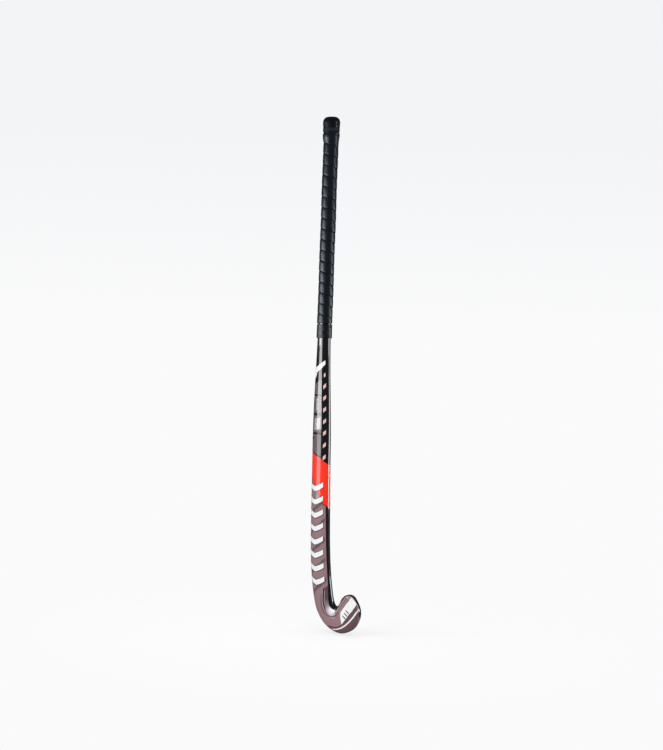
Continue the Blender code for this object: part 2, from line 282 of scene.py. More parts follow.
class Section:
    """A cut through the stick: the two ends of its rib in X and Z, and its shape across it."""

    def __init__(self, heel, bay, front, back, corner, power, rib=0.0):
        self.middle = (heel + bay) / 2
        self.half = (bay - heel).length / 2
        self.across = (bay - heel).normalized()
        self.front = front
        self.back = back
        self.corner = corner
        self.power = power
        swing = CREASE_SPREAD * (rib - CREASE_MIDDLE) ** 2
        share = min(CREASE_FURTHEST, CREASE_NEAREST + swing)
        self.crease = math.acos(share ** (power / 2))
        rise = ease((rib - CREASE_START) / (CREASE_FULL - CREASE_START))
        fade = ease((CREASE_END - rib) / (CREASE_END - CREASE_FADE))
        self.crease_depth = CREASE_DEPTH * rise * fade

    def shrunk(self, wall):
        """The same cut, a wall's thickness further in, and without the crease."""
        heel = self.middle - self.across * (self.half - wall)
        bay = self.middle + self.across * (self.half - wall)
        corner = [max(radius - wall, LEAST_CORNER) for radius in self.corner]
        return Section(heel, bay, self.front - wall, self.back - wall, corner, self.power)

    def place(self, across, depth):
        """The point in space at this distance along the rib and this depth, + to the face."""
        flat = self.middle + self.across * across
        return Vector((flat.x, depth + bow_at(flat.y), flat.y)) + AXIS

    def back_point(self, turn, lowered=0.0):
        """A point on the rounded back: turn 0 is the bay side, and pi the heel side."""
        base = self.front - self.corner[1]
        share = 2 / self.power
        across = math.copysign(abs(math.cos(turn)) ** share, math.cos(turn)) * self.half
        depth = base - (self.back + base - lowered) * max(math.sin(turn), 0.0) ** share
        return across, depth

    def corner_point(self, side, turn):
        """A point on the rounded edge of the flat face: turn 0 is the stick's side."""
        wide, deep = self.corner
        across = side * (self.half - wide + wide * math.cos(turn))
        return across, self.front - deep + deep * math.sin(turn)

    def point(self, around):
        """The point of the outline at a position round the stick."""
        if around < SCOOP_START:
            return self.place(*self.corner_point(1, -around * math.pi / 2))
        if around < STEP_START:
            share = around / STEP_START
            return self.place(*self.back_point(self.crease * share, self.crease_depth * share))
        if around < BACK_START:
            share = around - STEP_START
            turn = self.crease + CREASE_TURN * share
            lowered = self.crease_depth * ease(1 - share)
            return self.place(*self.back_point(turn, lowered))
        if around < HEEL_START:
            share = (around - BACK_START) / (HEEL_START - BACK_START)
            turn = mix(self.crease + CREASE_TURN, math.pi, share)
            return self.place(*self.back_point(turn))
        if around < FACE_START:
            return self.place(*self.corner_point(-1, (around - HEEL_START) * math.pi / 2))
        flat = self.half - self.corner[0]
        return self.place(mix(-flat, flat, around - FACE_START), self.front)

    def around(self, turn):
        """The position round the stick at a turn of its rounded back."""
        if turn <= self.crease:
            return STEP_START * turn / self.crease
        brow = self.crease + CREASE_TURN
        if turn <= brow:
            return STEP_START + (turn - self.crease) / CREASE_TURN
        return BACK_START + (HEEL_START - BACK_START) * (turn - brow) / (math.pi - brow)


def shaft_section(height):
    """The cut at a height above the head: an oval at the handle, a D lower down."""
    taper = ease((TAPER_TOP - height) / (TAPER_TOP - TAPER_FOOT))
    rounding = ease((ROUND_FOOT - height) / (ROUND_FOOT - BLEND_TOP))
    to_head = ease((BLEND_TOP - height) / (BLEND_TOP - HEAD_TOP))
    heel, bay = (Vector(point) for point in HEAD_RIBS[0])
    half = mix(mix(HANDLE_HALF_WIDTH, SHAFT_HALF_WIDTH, taper), (bay - heel).length / 2, to_head)
    middle = mix(0.0, (heel.x + bay.x) / 2, to_head)
    front = mix(HANDLE_HALF_DEPTH, SHAFT_FRONT, rounding)
    back = mix(mix(HANDLE_HALF_DEPTH, SHAFT_BACK, rounding), HEAD_BACK, to_head)
    corner = (mix(half, FRONT_CORNER, rounding), mix(front, FRONT_CORNER, rounding))
    power = mix(HANDLE_POWER, HEAD_POWER, rounding)
    ends = Vector((middle - half, height)), Vector((middle + half, height))
    return Section(*ends, front, back, corner, power)


def head_section(rib):
    """The cut at a rib number of the head, fractions included."""
    heel = through([pair[0] for pair in HEAD_RIBS], rib)
    bay = through([pair[1] for pair in HEAD_RIBS], rib)
    past = max(0.0, (rib - TOE_ROUNDING_START) / (TIP - TOE_ROUNDING_START))
    thin = math.sqrt(1 - (TOE_ROUNDING * past) ** 2)
    room = MOST_CORNER * min((bay - heel).length / 2, SHAFT_FRONT * thin)
    corner = min(FRONT_CORNER, room)
    depths = SHAFT_FRONT * thin, HEAD_BACK * thin
    return Section(heel, bay, *depths, (corner, corner), HEAD_POWER, rib)


@functools.lru_cache(maxsize=None)
def section_at(along):
    return head_section(along) if along >= 0 else shaft_section(height_of(along))


def height_of(along):
    return HEAD_TOP - along * SHAFT_STEP


def along_of(height):
    """The position along the shaft at a height above the head."""
    return (HEAD_TOP - height) / SHAFT_STEP


def skin(around, along, proud=0.0):
    """The point of the stick's surface there, stood off it by a small distance."""
    section = section_at(round(along, 6))
    place = section.point(around)
    if not proud:
        return place
    before = around - SKIN_STEP if around > CORNER_START + SKIN_STEP else around
    beside = section.point(min(before + 2 * SKIN_STEP, ROUND_END)) - section.point(before)
    lower = section_at(round(min(along + SKIN_STEP, TIP), 6)).point(around)
    upper = section_at(round(along - SKIN_STEP, 6)).point(around)
    return place + beside.cross(lower - upper).normalized() * proud


def lines_round():
    """The positions round the stick that the shell and its films share."""
    lines = []
    ends = [start for start, _ in LINES_PER_PART[1:]] + [ROUND_END]
    for (start, count), end in zip(LINES_PER_PART, ends):
        lines += [mix(start, end, step / count) for step in range(count)]
    return lines


def lines_along():
    """The positions along the stick that the shell and its films share, from the toe up."""
    toe = [mix(TIP, TOE_ROUNDING_START, step / TOE_LINES) for step in range(TOE_LINES)]
    head = [mix(TOE_ROUNDING_START, 0, step / HEAD_LINES) for step in range(HEAD_LINES)]
    shaft = [mix(HEAD_TOP, TAPER_TOP, step / SHAFT_LINES) for step in range(SHAFT_LINES)]
    handle = [mix(TAPER_TOP, MOUTH_TOP, step / HANDLE_LINES) for step in range(HANDLE_LINES + 1)]
    return toe + head + [along_of(height) for height in shaft + handle]


ROUND_LINES = lines_round()
ALONG_LINES = lines_along()


# ---- meshes --------------------------------------------------------------------------------


def ring_on(bm, points):
    """A first closed ring of edges."""
    made = bmesh.ops.create_circle(bm, segments=len(points), radius=1)["verts"]
    for vertex, point in zip(made, points):
        vertex.co = point
    return made


def carry_on(bm, ring, points):
    """Extrudes the ring's edges to the next ring of points."""
    edges = [bm.edges.get((ring[i - 1], ring[i])) for i in range(len(ring))]
    made = bmesh.ops.extrude_edge_only(bm, edges=edges)["geom"]
    fresh = {item for item in made if isinstance(item, bmesh.types.BMVert)}
    following = []
    for vertex, point in zip(ring, points):
        around = [edge.other_vert(vertex) for edge in vertex.link_edges]
        partner = next(other for other in around if other in fresh)
        partner.co = point
        following.append(partner)
    return following


def add_piece(name, bm, finish, stands_for=()):
    """Makes the mesh a piece of the stick, with its finish and its body."""
    bmesh.ops.recalc_face_normals(bm, faces=bm.faces)
    mesh = bpy.data.meshes.new(name)
    bm.to_mesh(mesh)
    bm.free()
    mesh.materials.append(finish)
    mesh.shade_smooth()
    mesh.set_sharp_from_angle(angle=SMOOTH_ANGLE)
    piece = bpy.data.objects.new(name, mesh)
    scene.collection.objects.link(piece)
    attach(piece, "root")
    if stands_for:
        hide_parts(*stands_for)
    return piece


def skinned(rings, closed_ends=True):
    """A surface over the rings: with flat ends, or joined from its last ring to its first."""
    bm = bmesh.new()
    ring = first = ring_on(bm, rings[0])
    for points in rings[1:]:
        ring = carry_on(bm, ring, points)
    if closed_ends:
        for end in (first, ring):
            bm.faces.new(end)
    else:
        carry_on(bm, ring, [vertex.co.copy() for vertex in first])
        bmesh.ops.remove_doubles(bm, verts=bm.verts, dist=1e-7)
    return bm


def oval(half_width, half_depth, height, points=96):
    """A level ring round the handle's axis."""
    turns = [2 * math.pi * step / points for step in range(points)]
    return [
        AXIS + Vector((half_width * math.cos(turn), half_depth * math.sin(turn), height))
        for turn in turns
    ]


def film(name, outlines, finish, layer=1):
    """A thin film of paint or transfer on the shell, cut to outlines of (around, along)."""
    bm = bmesh.new()
    for outline in outlines:
        bm.faces.new([bm.verts.new((around, along, 0)) for around, along in outline])
    bmesh.ops.triangulate(bm, faces=bm.faces)
    for axis, lines in ((0, ROUND_LINES), (1, ALONG_LINES)):
        reach = [vertex.co[axis] for vertex in bm.verts]
        low, high = min(reach), max(reach)
        normal = (1, 0, 0) if axis == 0 else (0, 1, 0)
        for line in lines:
            if low < line < high:
                spot = [coordinate * line for coordinate in normal]
                geometry = [*bm.verts, *bm.edges, *bm.faces]
                bmesh.ops.bisect_plane(
                    bm, geom=geometry, dist=1e-5, plane_co=spot, plane_no=normal
                )
    bmesh.ops.remove_doubles(bm, verts=bm.verts, dist=2e-5)
    bmesh.ops.solidify(bm, geom=bm.faces[:], thickness=1.0)
    middle = sum(vertex.co.z for vertex in bm.verts) / len(bm.verts)
    for vertex in bm.verts:
        around, along, level = vertex.co
        vertex.co = skin(around, along, (FILM * layer if level > middle else -FILM) - SETBACK)
    return add_piece(name, bm, finish)


# ---- finishes ------------------------------------------------------------------------------


def new_group(name, takes, gives):
    """An empty shader group, with its sockets as (name, kind, value) and (name, kind)."""
    tree = bpy.data.node_groups.new(name, "ShaderNodeTree")
    for label, kind, value in takes:
        socket = tree.interface.new_socket(label, in_out="INPUT", socket_type=f"NodeSocket{kind}")
        socket.default_value = value
    for label, kind in gives:
        tree.interface.new_socket(label, in_out="OUTPUT", socket_type=f"NodeSocket{kind}")
    return tree, tree.nodes.new("NodeGroupInput"), tree.nodes.new("NodeGroupOutput")


def node(tree, kind, inputs=(), **settings):
    """A shader node, with its settings, and its inputs as numbers or as sockets to join."""
    made = tree.nodes.new(f"ShaderNode{kind}")
    for label, value in settings.items():
        setattr(made, label, value)
    for label, value in dict(inputs).items():
        if isinstance(value, bpy.types.NodeSocket):
            tree.links.new(value, made.inputs[label])
        else:
            made.inputs[label].default_value = value
    return made


def join(tree, target, **sockets):
    """Joins each socket to the target node's input of that name."""
    for label, socket in sockets.items():
        tree.links.new(socket, target.inputs[label.replace("_", " ")])


def sum_of(tree, operation, first, second, third=None):
    """The result of a Math node."""
    inputs = {0: first, 1: second}
    if third is not None:
        inputs[2] = third
    return node(tree, "Math", inputs, operation=operation).outputs[0]


def blend_of(tree, share, first, second):
    """The result of mixing two colours."""
    made = node(tree, "Mix", data_type="RGBA")
    for label, value in ((0, share), (6, first), (7, second)):
        if isinstance(value, bpy.types.NodeSocket):
            tree.links.new(value, made.inputs[label])
        else:
            made.inputs[label].default_value = value
    return made.outputs[2]


def stretch_of(tree, value, low, high, to_low=0.0, to_high=1.0):
    """A value moved from one range to another, and held inside it."""
    inputs = {0: value, 1: low, 2: high, 3: to_low, 4: to_high}
    return node(tree, "MapRange", inputs).outputs[0]


def place_of(tree, scale=(1, 1, 1)):
    """The place on the piece itself, stretched."""
    coordinates = node(tree, "TexCoord").outputs["Object"]
    return node(tree, "Mapping", {"Vector": coordinates, "Scale": scale}).outputs[0]


def noise_of(tree, scale, detail=2.0, stretched=(1, 1, 1)):
    inputs = {"Vector": place_of(tree, stretched), "Scale": scale, "Detail": detail}
    return node(tree, "TexNoise", inputs).outputs[0]


def lacquer_group():
    """Clear-coated paint: mottled pigment, the coat's slight peel, hairlines and dust."""
    tree, takes, gives = new_group(
        "lacquered_paint",
        [("Paint", "Color", (0, 0, 0, 1)), ("Mottle", "Float", 0.06), ("Gloss", "Float", 0.2)],
        [("Colour", "Color"), ("Roughness", "Float"), ("Coat", "Float"), ("Height", "Float")],
    )
    fleck = noise_of(tree, 900, 3)
    cloud = noise_of(tree, 28, 2)
    lighter = node(
        tree,
        "HueSaturation",
        {"Color": takes.outputs["Paint"], "Value": 1.3, "Saturation": 0.92},
    ).outputs[0]
    mottled = sum_of(tree, "MULTIPLY_ADD", fleck, 0.6, sum_of(tree, "MULTIPLY", cloud, 0.6))
    share = sum_of(tree, "MULTIPLY", mottled, sum_of(tree, "MULTIPLY", takes.outputs["Mottle"], 4))
    painted = blend_of(tree, share, takes.outputs["Paint"], lighter)
    hairline = stretch_of(tree, noise_of(tree, 60, 4, (22, 22, 0.8)), 0.66, 0.72)
    dust = stretch_of(tree, noise_of(tree, 2600, 1), 0.74, 0.8)
    marked = blend_of(tree, sum_of(tree, "MULTIPLY", dust, 0.10), painted, (0.8, 0.8, 0.8, 1))
    rough = sum_of(tree, "MULTIPLY_ADD", hairline, 0.16, takes.outputs["Gloss"])
    peel = noise_of(tree, 420, 2)
    scratched = sum_of(tree, "MULTIPLY_ADD", hairline, -0.25, peel)
    coat = stretch_of(tree, hairline, 0, 1, 1.0, 0.86)
    join(tree, gives, Colour=marked, Roughness=rough, Coat=coat, Height=scratched)
    return tree


def weave_group():
    """Twill cloth in resin: which way each little tow runs, and its low relief."""
    tree, takes, gives = new_group(
        "twill_weave", [("Tows", "Float", 620.0)], [("Tow", "Float"), ("Height", "Float")]
    )
    place = node(tree, "SeparateXYZ", {0: node(tree, "TexCoord").outputs["Object"]}).outputs
    over = sum_of(tree, "MULTIPLY", place[0], takes.outputs["Tows"])
    down = sum_of(tree, "MULTIPLY", place[2], takes.outputs["Tows"])
    cells = sum_of(tree, "ADD", sum_of(tree, "FLOOR", over, 0), sum_of(tree, "FLOOR", down, 0))
    lifted = sum_of(tree, "LESS_THAN", sum_of(tree, "FLOORED_MODULO", cells, 4), 2)
    across = sum_of(tree, "SINE", sum_of(tree, "MULTIPLY", over, math.pi), 0)
    along = sum_of(tree, "SINE", sum_of(tree, "MULTIPLY", down, math.pi), 0)
    rounded = node(tree, "Mix", {0: lifted, 2: across, 3: along}).outputs[0]
    join(tree, gives, Tow=lifted, Height=sum_of(tree, "ABSOLUTE", rounded, 0))
    return tree


def wear_group():
    """Where raised edges have been rubbed, broken up so that it is not one even line."""
    tree, takes, gives = new_group("edge_rub", [("Amount", "Float", 0.5)], [("Mask", "Float")])
    edge = stretch_of(tree, node(tree, "NewGeometry").outputs["Pointiness"], 0.53, 0.6)
    patchy = stretch_of(tree, noise_of(tree, 140, 4), 0.42, 0.62)
    rubbed = sum_of(tree, "MULTIPLY", edge, patchy)
    join(tree, gives, Mask=sum_of(tree, "MULTIPLY", rubbed, takes.outputs["Amount"]))
    return tree


def leather_group():
    """Cushioned synthetic leather: pebble grain, pulled wrinkles and handled patches."""
    tree, takes, gives = new_group(
        "grip_leather",
        [("Leather", "Color", (0, 0, 0, 1)), ("Grain", "Float", 1100.0), ("Dull", "Float", 0.4)],
        [("Colour", "Color"), ("Roughness", "Float"), ("Height", "Float")],
    )
    cells = node(
        tree,
        "TexVoronoi",
        {"Vector": place_of(tree), "Scale": takes.outputs["Grain"]},
        feature="DISTANCE_TO_EDGE",
    ).outputs["Distance"]
    pebble = stretch_of(tree, cells, 0.0, 0.28)
    wrinkle = stretch_of(tree, noise_of(tree, 55, 4, (1, 1, 3.2)), 0.35, 0.75)
    handled = stretch_of(tree, noise_of(tree, 34, 3), 0.35, 0.7)
    raised = node(
        tree, "HueSaturation", {"Color": takes.outputs["Leather"], "Value": 1.7}
    ).outputs[0]
    coloured = blend_of(
        tree,
        sum_of(tree, "MULTIPLY", pebble, sum_of(tree, "MULTIPLY_ADD", handled, 0.5, 0.3)),
        takes.outputs["Leather"],
        raised,
    )
    rough = sum_of(tree, "MULTIPLY_ADD", handled, 0.05, takes.outputs["Dull"])
    relief = sum_of(tree, "MULTIPLY_ADD", wrinkle, 0.6, pebble)
    join(tree, gives, Colour=coloured, Roughness=rough, Height=relief)
    return tree


def rubber_group():
    """Moulded rubber or plastic: fine mould texture, flow marks and a little dust."""
    tree, takes, gives = new_group(
        "moulded_rubber",
        [("Rubber", "Color", (0, 0, 0, 1)), ("Dull", "Float", 0.3), ("Speck", "Float", 0.1)],
        [("Colour", "Color"), ("Roughness", "Float"), ("Height", "Float")],
    )
    flow = noise_of(tree, 70, 3, (1, 1, 0.4))
    speck = stretch_of(tree, noise_of(tree, 1900, 1), 0.66, 0.74)
    dusty = sum_of(tree, "MULTIPLY", speck, takes.outputs["Speck"])
    coloured = blend_of(tree, dusty, takes.outputs["Rubber"], (0.5, 0.5, 0.52, 1))
    rough = sum_of(tree, "MULTIPLY_ADD", flow, 0.14, takes.outputs["Dull"])
    relief = sum_of(tree, "MULTIPLY_ADD", noise_of(tree, 1500, 2), 0.5, flow)
    join(tree, gives, Colour=coloured, Roughness=rough, Height=relief)
    return tree


def foam_group():
    """Cut rigid foam: closed cells with darker pits, and a slow drift in colour."""
    tree, takes, gives = new_group(
        "rigid_foam",
        [("Foam", "Color", (1, 1, 1, 1)), ("Cells", "Float", 900.0)],
        [("Colour", "Color"), ("Height", "Float")],
    )
    cell = node(
        tree, "TexVoronoi", {"Vector": place_of(tree), "Scale": takes.outputs["Cells"]}
    ).outputs["Distance"]
    darker = node(tree, "HueSaturation", {"Color": takes.outputs["Foam"], "Value": 0.6}).outputs[0]
    drift = sum_of(tree, "MULTIPLY_ADD", noise_of(tree, 45, 3), 0.3, cell)
    share = stretch_of(tree, drift, 0.2, 0.9)
    join(tree, gives, Colour=blend_of(tree, share, takes.outputs["Foam"], darker), Height=cell)
    return tree


LACQUER = lacquer_group()
WEAVE = weave_group()
RUB = wear_group()
LEATHER = leather_group()
RUBBER = rubber_group()
FOAM = foam_group()

PAINT_COAT = {"Coat_Roughness": 0.045, "Coat_IOR": 1.6, "Specular_IOR_Level": 0.15}
UNDER_PAINT = (0.03, 0.03, 0.03, 1)  # what shows where paint is rubbed through
LACQUER_RELIEF = 0.00002


def new_finish(name, **constants):
    """A material with its Principled shader, and the constants on the shader's own sockets."""
    material = bpy.data.materials.new(name)
    material.use_nodes = True
    tree = material.node_tree
    shader = tree.nodes["Principled BSDF"]
    for label, value in constants.items():
        shader.inputs[label.replace("_", " ")].default_value = value
    return material, tree, shader


def placed_group(tree, group, **values):
    """A group's node in a material, with its own values."""
    made = tree.nodes.new("ShaderNodeGroup")
    made.node_tree = group
    for label, value in values.items():
        made.inputs[label].default_value = value
    return made


def add_relief(tree, shader, height, depth):
    """Bump of this depth, from a height between 0 and 1."""
    bump = node(tree, "Bump", {"Height": height, "Distance": depth, "Strength": 1.0})
    join(tree, shader, Normal=bump.outputs[0])


def join_lacquer(tree, shader, lacquer, shown, height):
    """Joins a lacquer group to the shader, with the colour that shows and the relief."""
    rough, coat = lacquer.outputs["Roughness"], lacquer.outputs["Coat"]
    join(tree, shader, Base_Color=shown, Roughness=rough, Coat_Weight=coat)
    add_relief(tree, shader, height, LACQUER_RELIEF)


def paint_finish(name, colour, mottle=0.06, gloss=0.32, rub=0.35):
    """Paint or transfer under the stick's clear lacquer, rubbed through at raised edges."""
    material, tree, shader = new_finish(name, **PAINT_COAT)
    paint = placed_group(tree, LACQUER, Paint=(*colour, 1), Mottle=mottle, Gloss=gloss)
    worn = placed_group(tree, RUB, Amount=rub)
    shown = blend_of(tree, worn.outputs["Mask"], paint.outputs["Colour"], UNDER_PAINT)
    join_lacquer(tree, shader, paint, shown, paint.outputs["Height"])
    return material


def shell_finish():
    """Gloss black lacquer over a twill laminate that only just shows through."""
    material, tree, shader = new_finish(
        "gloss_black_shell", Coat_Roughness=0.04, Coat_IOR=1.6, Specular_IOR_Level=0.1
    )
    paint = placed_group(tree, LACQUER, Paint=(0.0045, 0.0045, 0.0062, 1), Mottle=0.1, Gloss=0.3)
    weave = placed_group(tree, WEAVE, Tows=620.0)
    tows = blend_of(
        tree,
        sum_of(tree, "MULTIPLY", weave.outputs["Tow"], 0.5),
        paint.outputs["Colour"],
        (0.0085, 0.0085, 0.011, 1),
    )
    worn = placed_group(tree, RUB, Amount=0.2)
    shown = blend_of(tree, worn.outputs["Mask"], tows, (0.10, 0.10, 0.105, 1))
    height = sum_of(tree, "MULTIPLY_ADD", weave.outputs["Height"], 0.25, paint.outputs["Height"])
    join_lacquer(tree, shader, paint, shown, height)
    return material


def leather_finish(name, colour, grain, dull, relief):
    material, tree, shader = new_finish(
        name, Sheen_Weight=0.02, Sheen_Roughness=0.4, Specular_Tint=(0.84, 0.92, 1.0, 1)
    )
    leather = placed_group(tree, LEATHER, Leather=(*colour, 1), Grain=grain, Dull=dull)
    worn = placed_group(tree, RUB, Amount=0.25)
    shown = blend_of(
        tree, worn.outputs["Mask"], leather.outputs["Colour"], (0.05, 0.052, 0.058, 1)
    )
    join(tree, shader, Base_Color=shown, Roughness=leather.outputs["Roughness"])
    add_relief(tree, shader, leather.outputs["Height"], relief)
    return material


def rubber_finish(name, colour, dull, speck=0.06, coat=0.0, relief=0.00002):
    material, tree, shader = new_finish(
        name,
        Coat_Weight=coat,
        Coat_Roughness=0.06,
        Specular_IOR_Level=0.2,
        Specular_Tint=(0.80, 0.90, 1.0, 1),
    )
    rubber = placed_group(tree, RUBBER, Rubber=(*colour, 1), Dull=dull, Speck=speck)
    colour, rough = rubber.outputs["Colour"], rubber.outputs["Roughness"]
    join(tree, shader, Base_Color=colour, Roughness=rough)
    add_relief(tree, shader, rubber.outputs["Height"], relief)
    return material


def foam_finish(name, colour, cells):
    material, tree, shader = new_finish(name, Roughness=0.9)
    foam = placed_group(tree, FOAM, Foam=(*colour, 1), Cells=cells)
    join(tree, shader, Base_Color=foam.outputs["Colour"])
    add_relief(tree, shader, foam.outputs["Height"], 0.0003)
    return material


def laminate_finish():
    """Bare inner laminate: twill tows in satin resin."""
    material, tree, shader = new_finish("core_tube_laminate", Coat_Weight=0.2)
    weave = placed_group(tree, WEAVE, Tows=480.0)
    resin = placed_group(tree, RUBBER, Rubber=(0.03, 0.03, 0.033, 1), Dull=0.4, Speck=0.05)
    shown = blend_of(
        tree, weave.outputs["Tow"], resin.outputs["Colour"], (0.075, 0.075, 0.08, 1)
    )
    join(tree, shader, Base_Color=shown, Roughness=resin.outputs["Roughness"])
    add_relief(tree, shader, weave.outputs["Height"], 0.00015)
    return material


# ---- shell ---------------------------------------------------------------------------------

# The toe's rounded tip: rings at these shares of its outline, and how far out they stand
TIP_BULGE = ((0.15, 0.0009), (0.5, 0.0008), (0.85, 0.0004))


def shell():
    """The moulded shell: from the toe's tip up its outside to the mouth, then down its hollow."""
    tip = [skin(around, TIP, -SETBACK) for around in ROUND_LINES]
    middle = sum(tip, Vector()) / len(tip)
    outward = (skin(0, TIP) - skin(0, TIP - 0.05)).normalized()
    rings = [
        [middle.lerp(point, width) + outward * rise for point in tip] for width, rise in TIP_BULGE
    ]
    rings += [[skin(around, along, -SETBACK) for around in ROUND_LINES] for along in ALONG_LINES]
    hollow = []
    for step in range(HOLLOW_SHAFT_LINES):
        height = mix(MOUTH_TOP, HEAD_TOP, step / HOLLOW_SHAFT_LINES)
        hollow.append(shaft_section(height).shrunk(SHELL_WALL))
    for step in range(HOLLOW_HEAD_LINES + 1):
        rib = mix(0, CAVITY_END, step / HOLLOW_HEAD_LINES)
        wall = mix(SHELL_WALL, HEAD_WALL, ease(rib / CAVITY_BLEND))
        hollow.append(head_section(rib).shrunk(wall))
    rings += [[inner.point(around) for around in ROUND_LINES] for inner in hollow]
    add_piece("shell", skinned(rings), shell_finish(), ["shaft_and_head"])


shell()

# ---- painted graphics, and painted highlights and shade at the crease ----------------------

RIB_REACH = 1.05  # how far past a rib's ends a spot may be, as a share of its half length
TRIES_PER_RIB = 20
HALVINGS = 30  # of the span that a search closes in on


def on_back(turn, along):
    """A position on the rounded back, from its turn and its place along the stick."""
    return section_at(along).around(turn), along


def on_head(spot):
    """The position on the head's rounded back behind a spot of the front view, (x, z)."""
    spot = Vector(spot)

    def past(rib):
        """How far the spot is past this rib, and its share of the way along it."""
        section = section_at(round(rib, 6))
        away = spot - section.middle
        return section.across.cross(away), away.dot(section.across) / section.half

    ribs = [step / TRIES_PER_RIB for step in range(TRIES_PER_RIB * TIP + 1)]
    tries = [(*past(rib), rib) for rib in ribs]
    nearest = min((abs(away), rib) for away, share, rib in tries if abs(share) < RIB_REACH)[1]
    low = max(0.0, nearest - 1 / TRIES_PER_RIB)
    high = min(float(TIP), nearest + 1 / TRIES_PER_RIB)
    for _ in range(HALVINGS):
        rib = (low + high) / 2
        if past(low)[0] * past(rib)[0] <= 0:
            high = rib
        else:
            low = rib
    section = section_at(round(rib, 6))
    share = min(1.0, max(-1.0, past(rib)[1]))
    turn = math.acos(math.copysign(abs(share) ** (section.power / 2), share))
    return section.around(turn), rib


def border(corners, steps):
    """Points along the straight sides of an area, all round it."""
    return straight_line([*corners, corners[0]], steps)[:-1]


def area_on_head(corners):
    """A straight-sided area of the head, from its corners in the front view."""
    return [on_head(spot) for spot in border(corners, 10)]


def area_on_shaft(corners, steps=6):
    """A straight-sided area of the shaft, from its corners as (turn, height)."""
    return [on_back(turn, along_of(height)) for turn, height in border(corners, steps)]


def back_spot(along, turn):
    """The point of the rounded back there, without the crease."""
    section = section_at(round(min(along, TIP), 6))
    return section.place(*section.back_point(turn))


def back_line(spots, steps=6):
    """Positions on the rounded back along a smooth line through spots of (along, turn)."""
    return [on_back(turn, along) for along, turn in smooth_line(spots, steps)]


def even_line(spots, width, end_width=0.0006):
    """A painted line of one width that only narrows at both ends."""
    return line_on_back(spots, [end_width] + [width] * (len(spots) - 2) + [end_width])


def line_on_back(spots, widths, steps=6):
    """A painted line along smooth spots of (along, turn), with a width at each of them."""
    centre = smooth_line([(along, turn, width) for (along, turn), width in zip(spots, widths)], steps)
    one, other = [], []
    for index, (along, turn, width) in enumerate(centre):
        before, after = centre[max(index - 1, 0)], centre[min(index + 1, len(centre) - 1)]
        per_turn = back_spot(along, turn + BACK_STEP) - back_spot(along, turn - BACK_STEP)
        per_along = back_spot(along + BACK_STEP, turn) - back_spot(along - BACK_STEP, turn)
        per_turn, per_along = per_turn / (2 * BACK_STEP), per_along / (2 * BACK_STEP)
        onward = per_along * (after.x - before.x) + per_turn * (after.y - before.y)
        sideways = per_turn.cross(per_along).cross(onward).normalized()
        both = per_turn.dot(per_along)
        spread = per_turn.length_squared * per_along.length_squared - both**2
        toward_turn, toward_along = sideways.dot(per_turn), sideways.dot(per_along)
        turn_share = (per_along.length_squared * toward_turn - both * toward_along) / spread
        along_share = (per_turn.length_squared * toward_along - both * toward_turn) / spread
        one.append((turn + turn_share * width / 2, along + along_share * width / 2))
        other.append((turn - turn_share * width / 2, along - along_share * width / 2))
    return [on_back(turn, along) for turn, along in one + other[::-1]]


# Upper and lower edge of the bright band, as (position round the stick, height)
BAND_UPPER = ((-1.0, 0.2965), (-0.1, 0.2995), (0.35, 0.3025), (2.15, 0.3110), (4.0, 0.3165),
              (5.9, 0.3260), (8.0, 0.3345), (9.0, 0.3350), (10.0, 0.2965))  # fmt: skip
BAND_LOWER = ((-1.0, 0.2205), (-0.1, 0.2235), (0.8, 0.2280), (2.1, 0.2345), (3.2, 0.2420),
              (4.2, 0.2580), (5.2, 0.2720), (6.6, 0.2790), (8.0, 0.2800), (9.0, 0.2790),
              (10.0, 0.2205))  # fmt: skip
BAND_LINE = 0.0016  # width of the dark line along the band's edges


def edge_of_band(points, lift=0.0):
    """The band's edge all round the stick, moved up or down it."""
    return [(min(spot.x, ROUND_END), along_of(spot.y + lift)) for spot in smooth_line(points, 8)]


def bright_band():
    orange = paint_finish("orange_red_paint", (0.90, 0.026, 0.006), mottle=0.02)
    black = paint_finish("black_line_paint", (0.006, 0.006, 0.008), gloss=0.35)
    upper, lower = edge_of_band(BAND_UPPER), edge_of_band(BAND_LOWER)
    film("orange_band", [upper + lower[::-1]], orange, layer=2)
    # The upper line straddles the band's edge, and the lower one hangs from it
    lines = []
    for points, one, other in ((BAND_UPPER, 0.5, -0.5), (BAND_LOWER, -1.0, 0.0)):
        side = edge_of_band(points, one * BAND_LINE)
        lines.append(side + edge_of_band(points, other * BAND_LINE)[::-1])
    film("band_edge_lines", lines, black, layer=2.5)
    return black


# Bay-side border of the mauve field, as (along, turn), and its rim round the toe
FIELD_BORDER = (
    (-1.40, 0.58), (-0.5, 0.57), (0.0, 0.55), (1.0, 0.52), (1.8, 0.52), (2.5, 0.54),
    (3.1, 0.64), (3.9, 0.77), (4.5, 0.86), (5.1, 0.82), (5.9, 0.86), (6.55, 0.85),
    (7.3, 0.76), (8.1, 0.80), (8.96, 0.91), (9.7, 1.08), (10.1, 1.36), (10.3, 1.75),
)  # fmt: skip
FIELD_RIM = (
    (10.38, 2.2), (10.36, 2.55), (10.2, 2.78), (9.8, 2.93), (9.3, 2.95), (8.9, 2.93),
    (8.5, 2.94),
)  # fmt: skip
FIELD_HEEL = 8.35  # position round the stick where the field ends, on the heel's corner

# The field's darker bands: heights of their tops, and their corners as (turn, fall from it)
SHADE_TOPS = (0.100, 0.136, 0.172, 0.208, 0.244)
SHADE_CORNERS = ((0.66, 0.0), (0.66, 0.0065), (2.9, 0.0455), (2.9, 0.039))


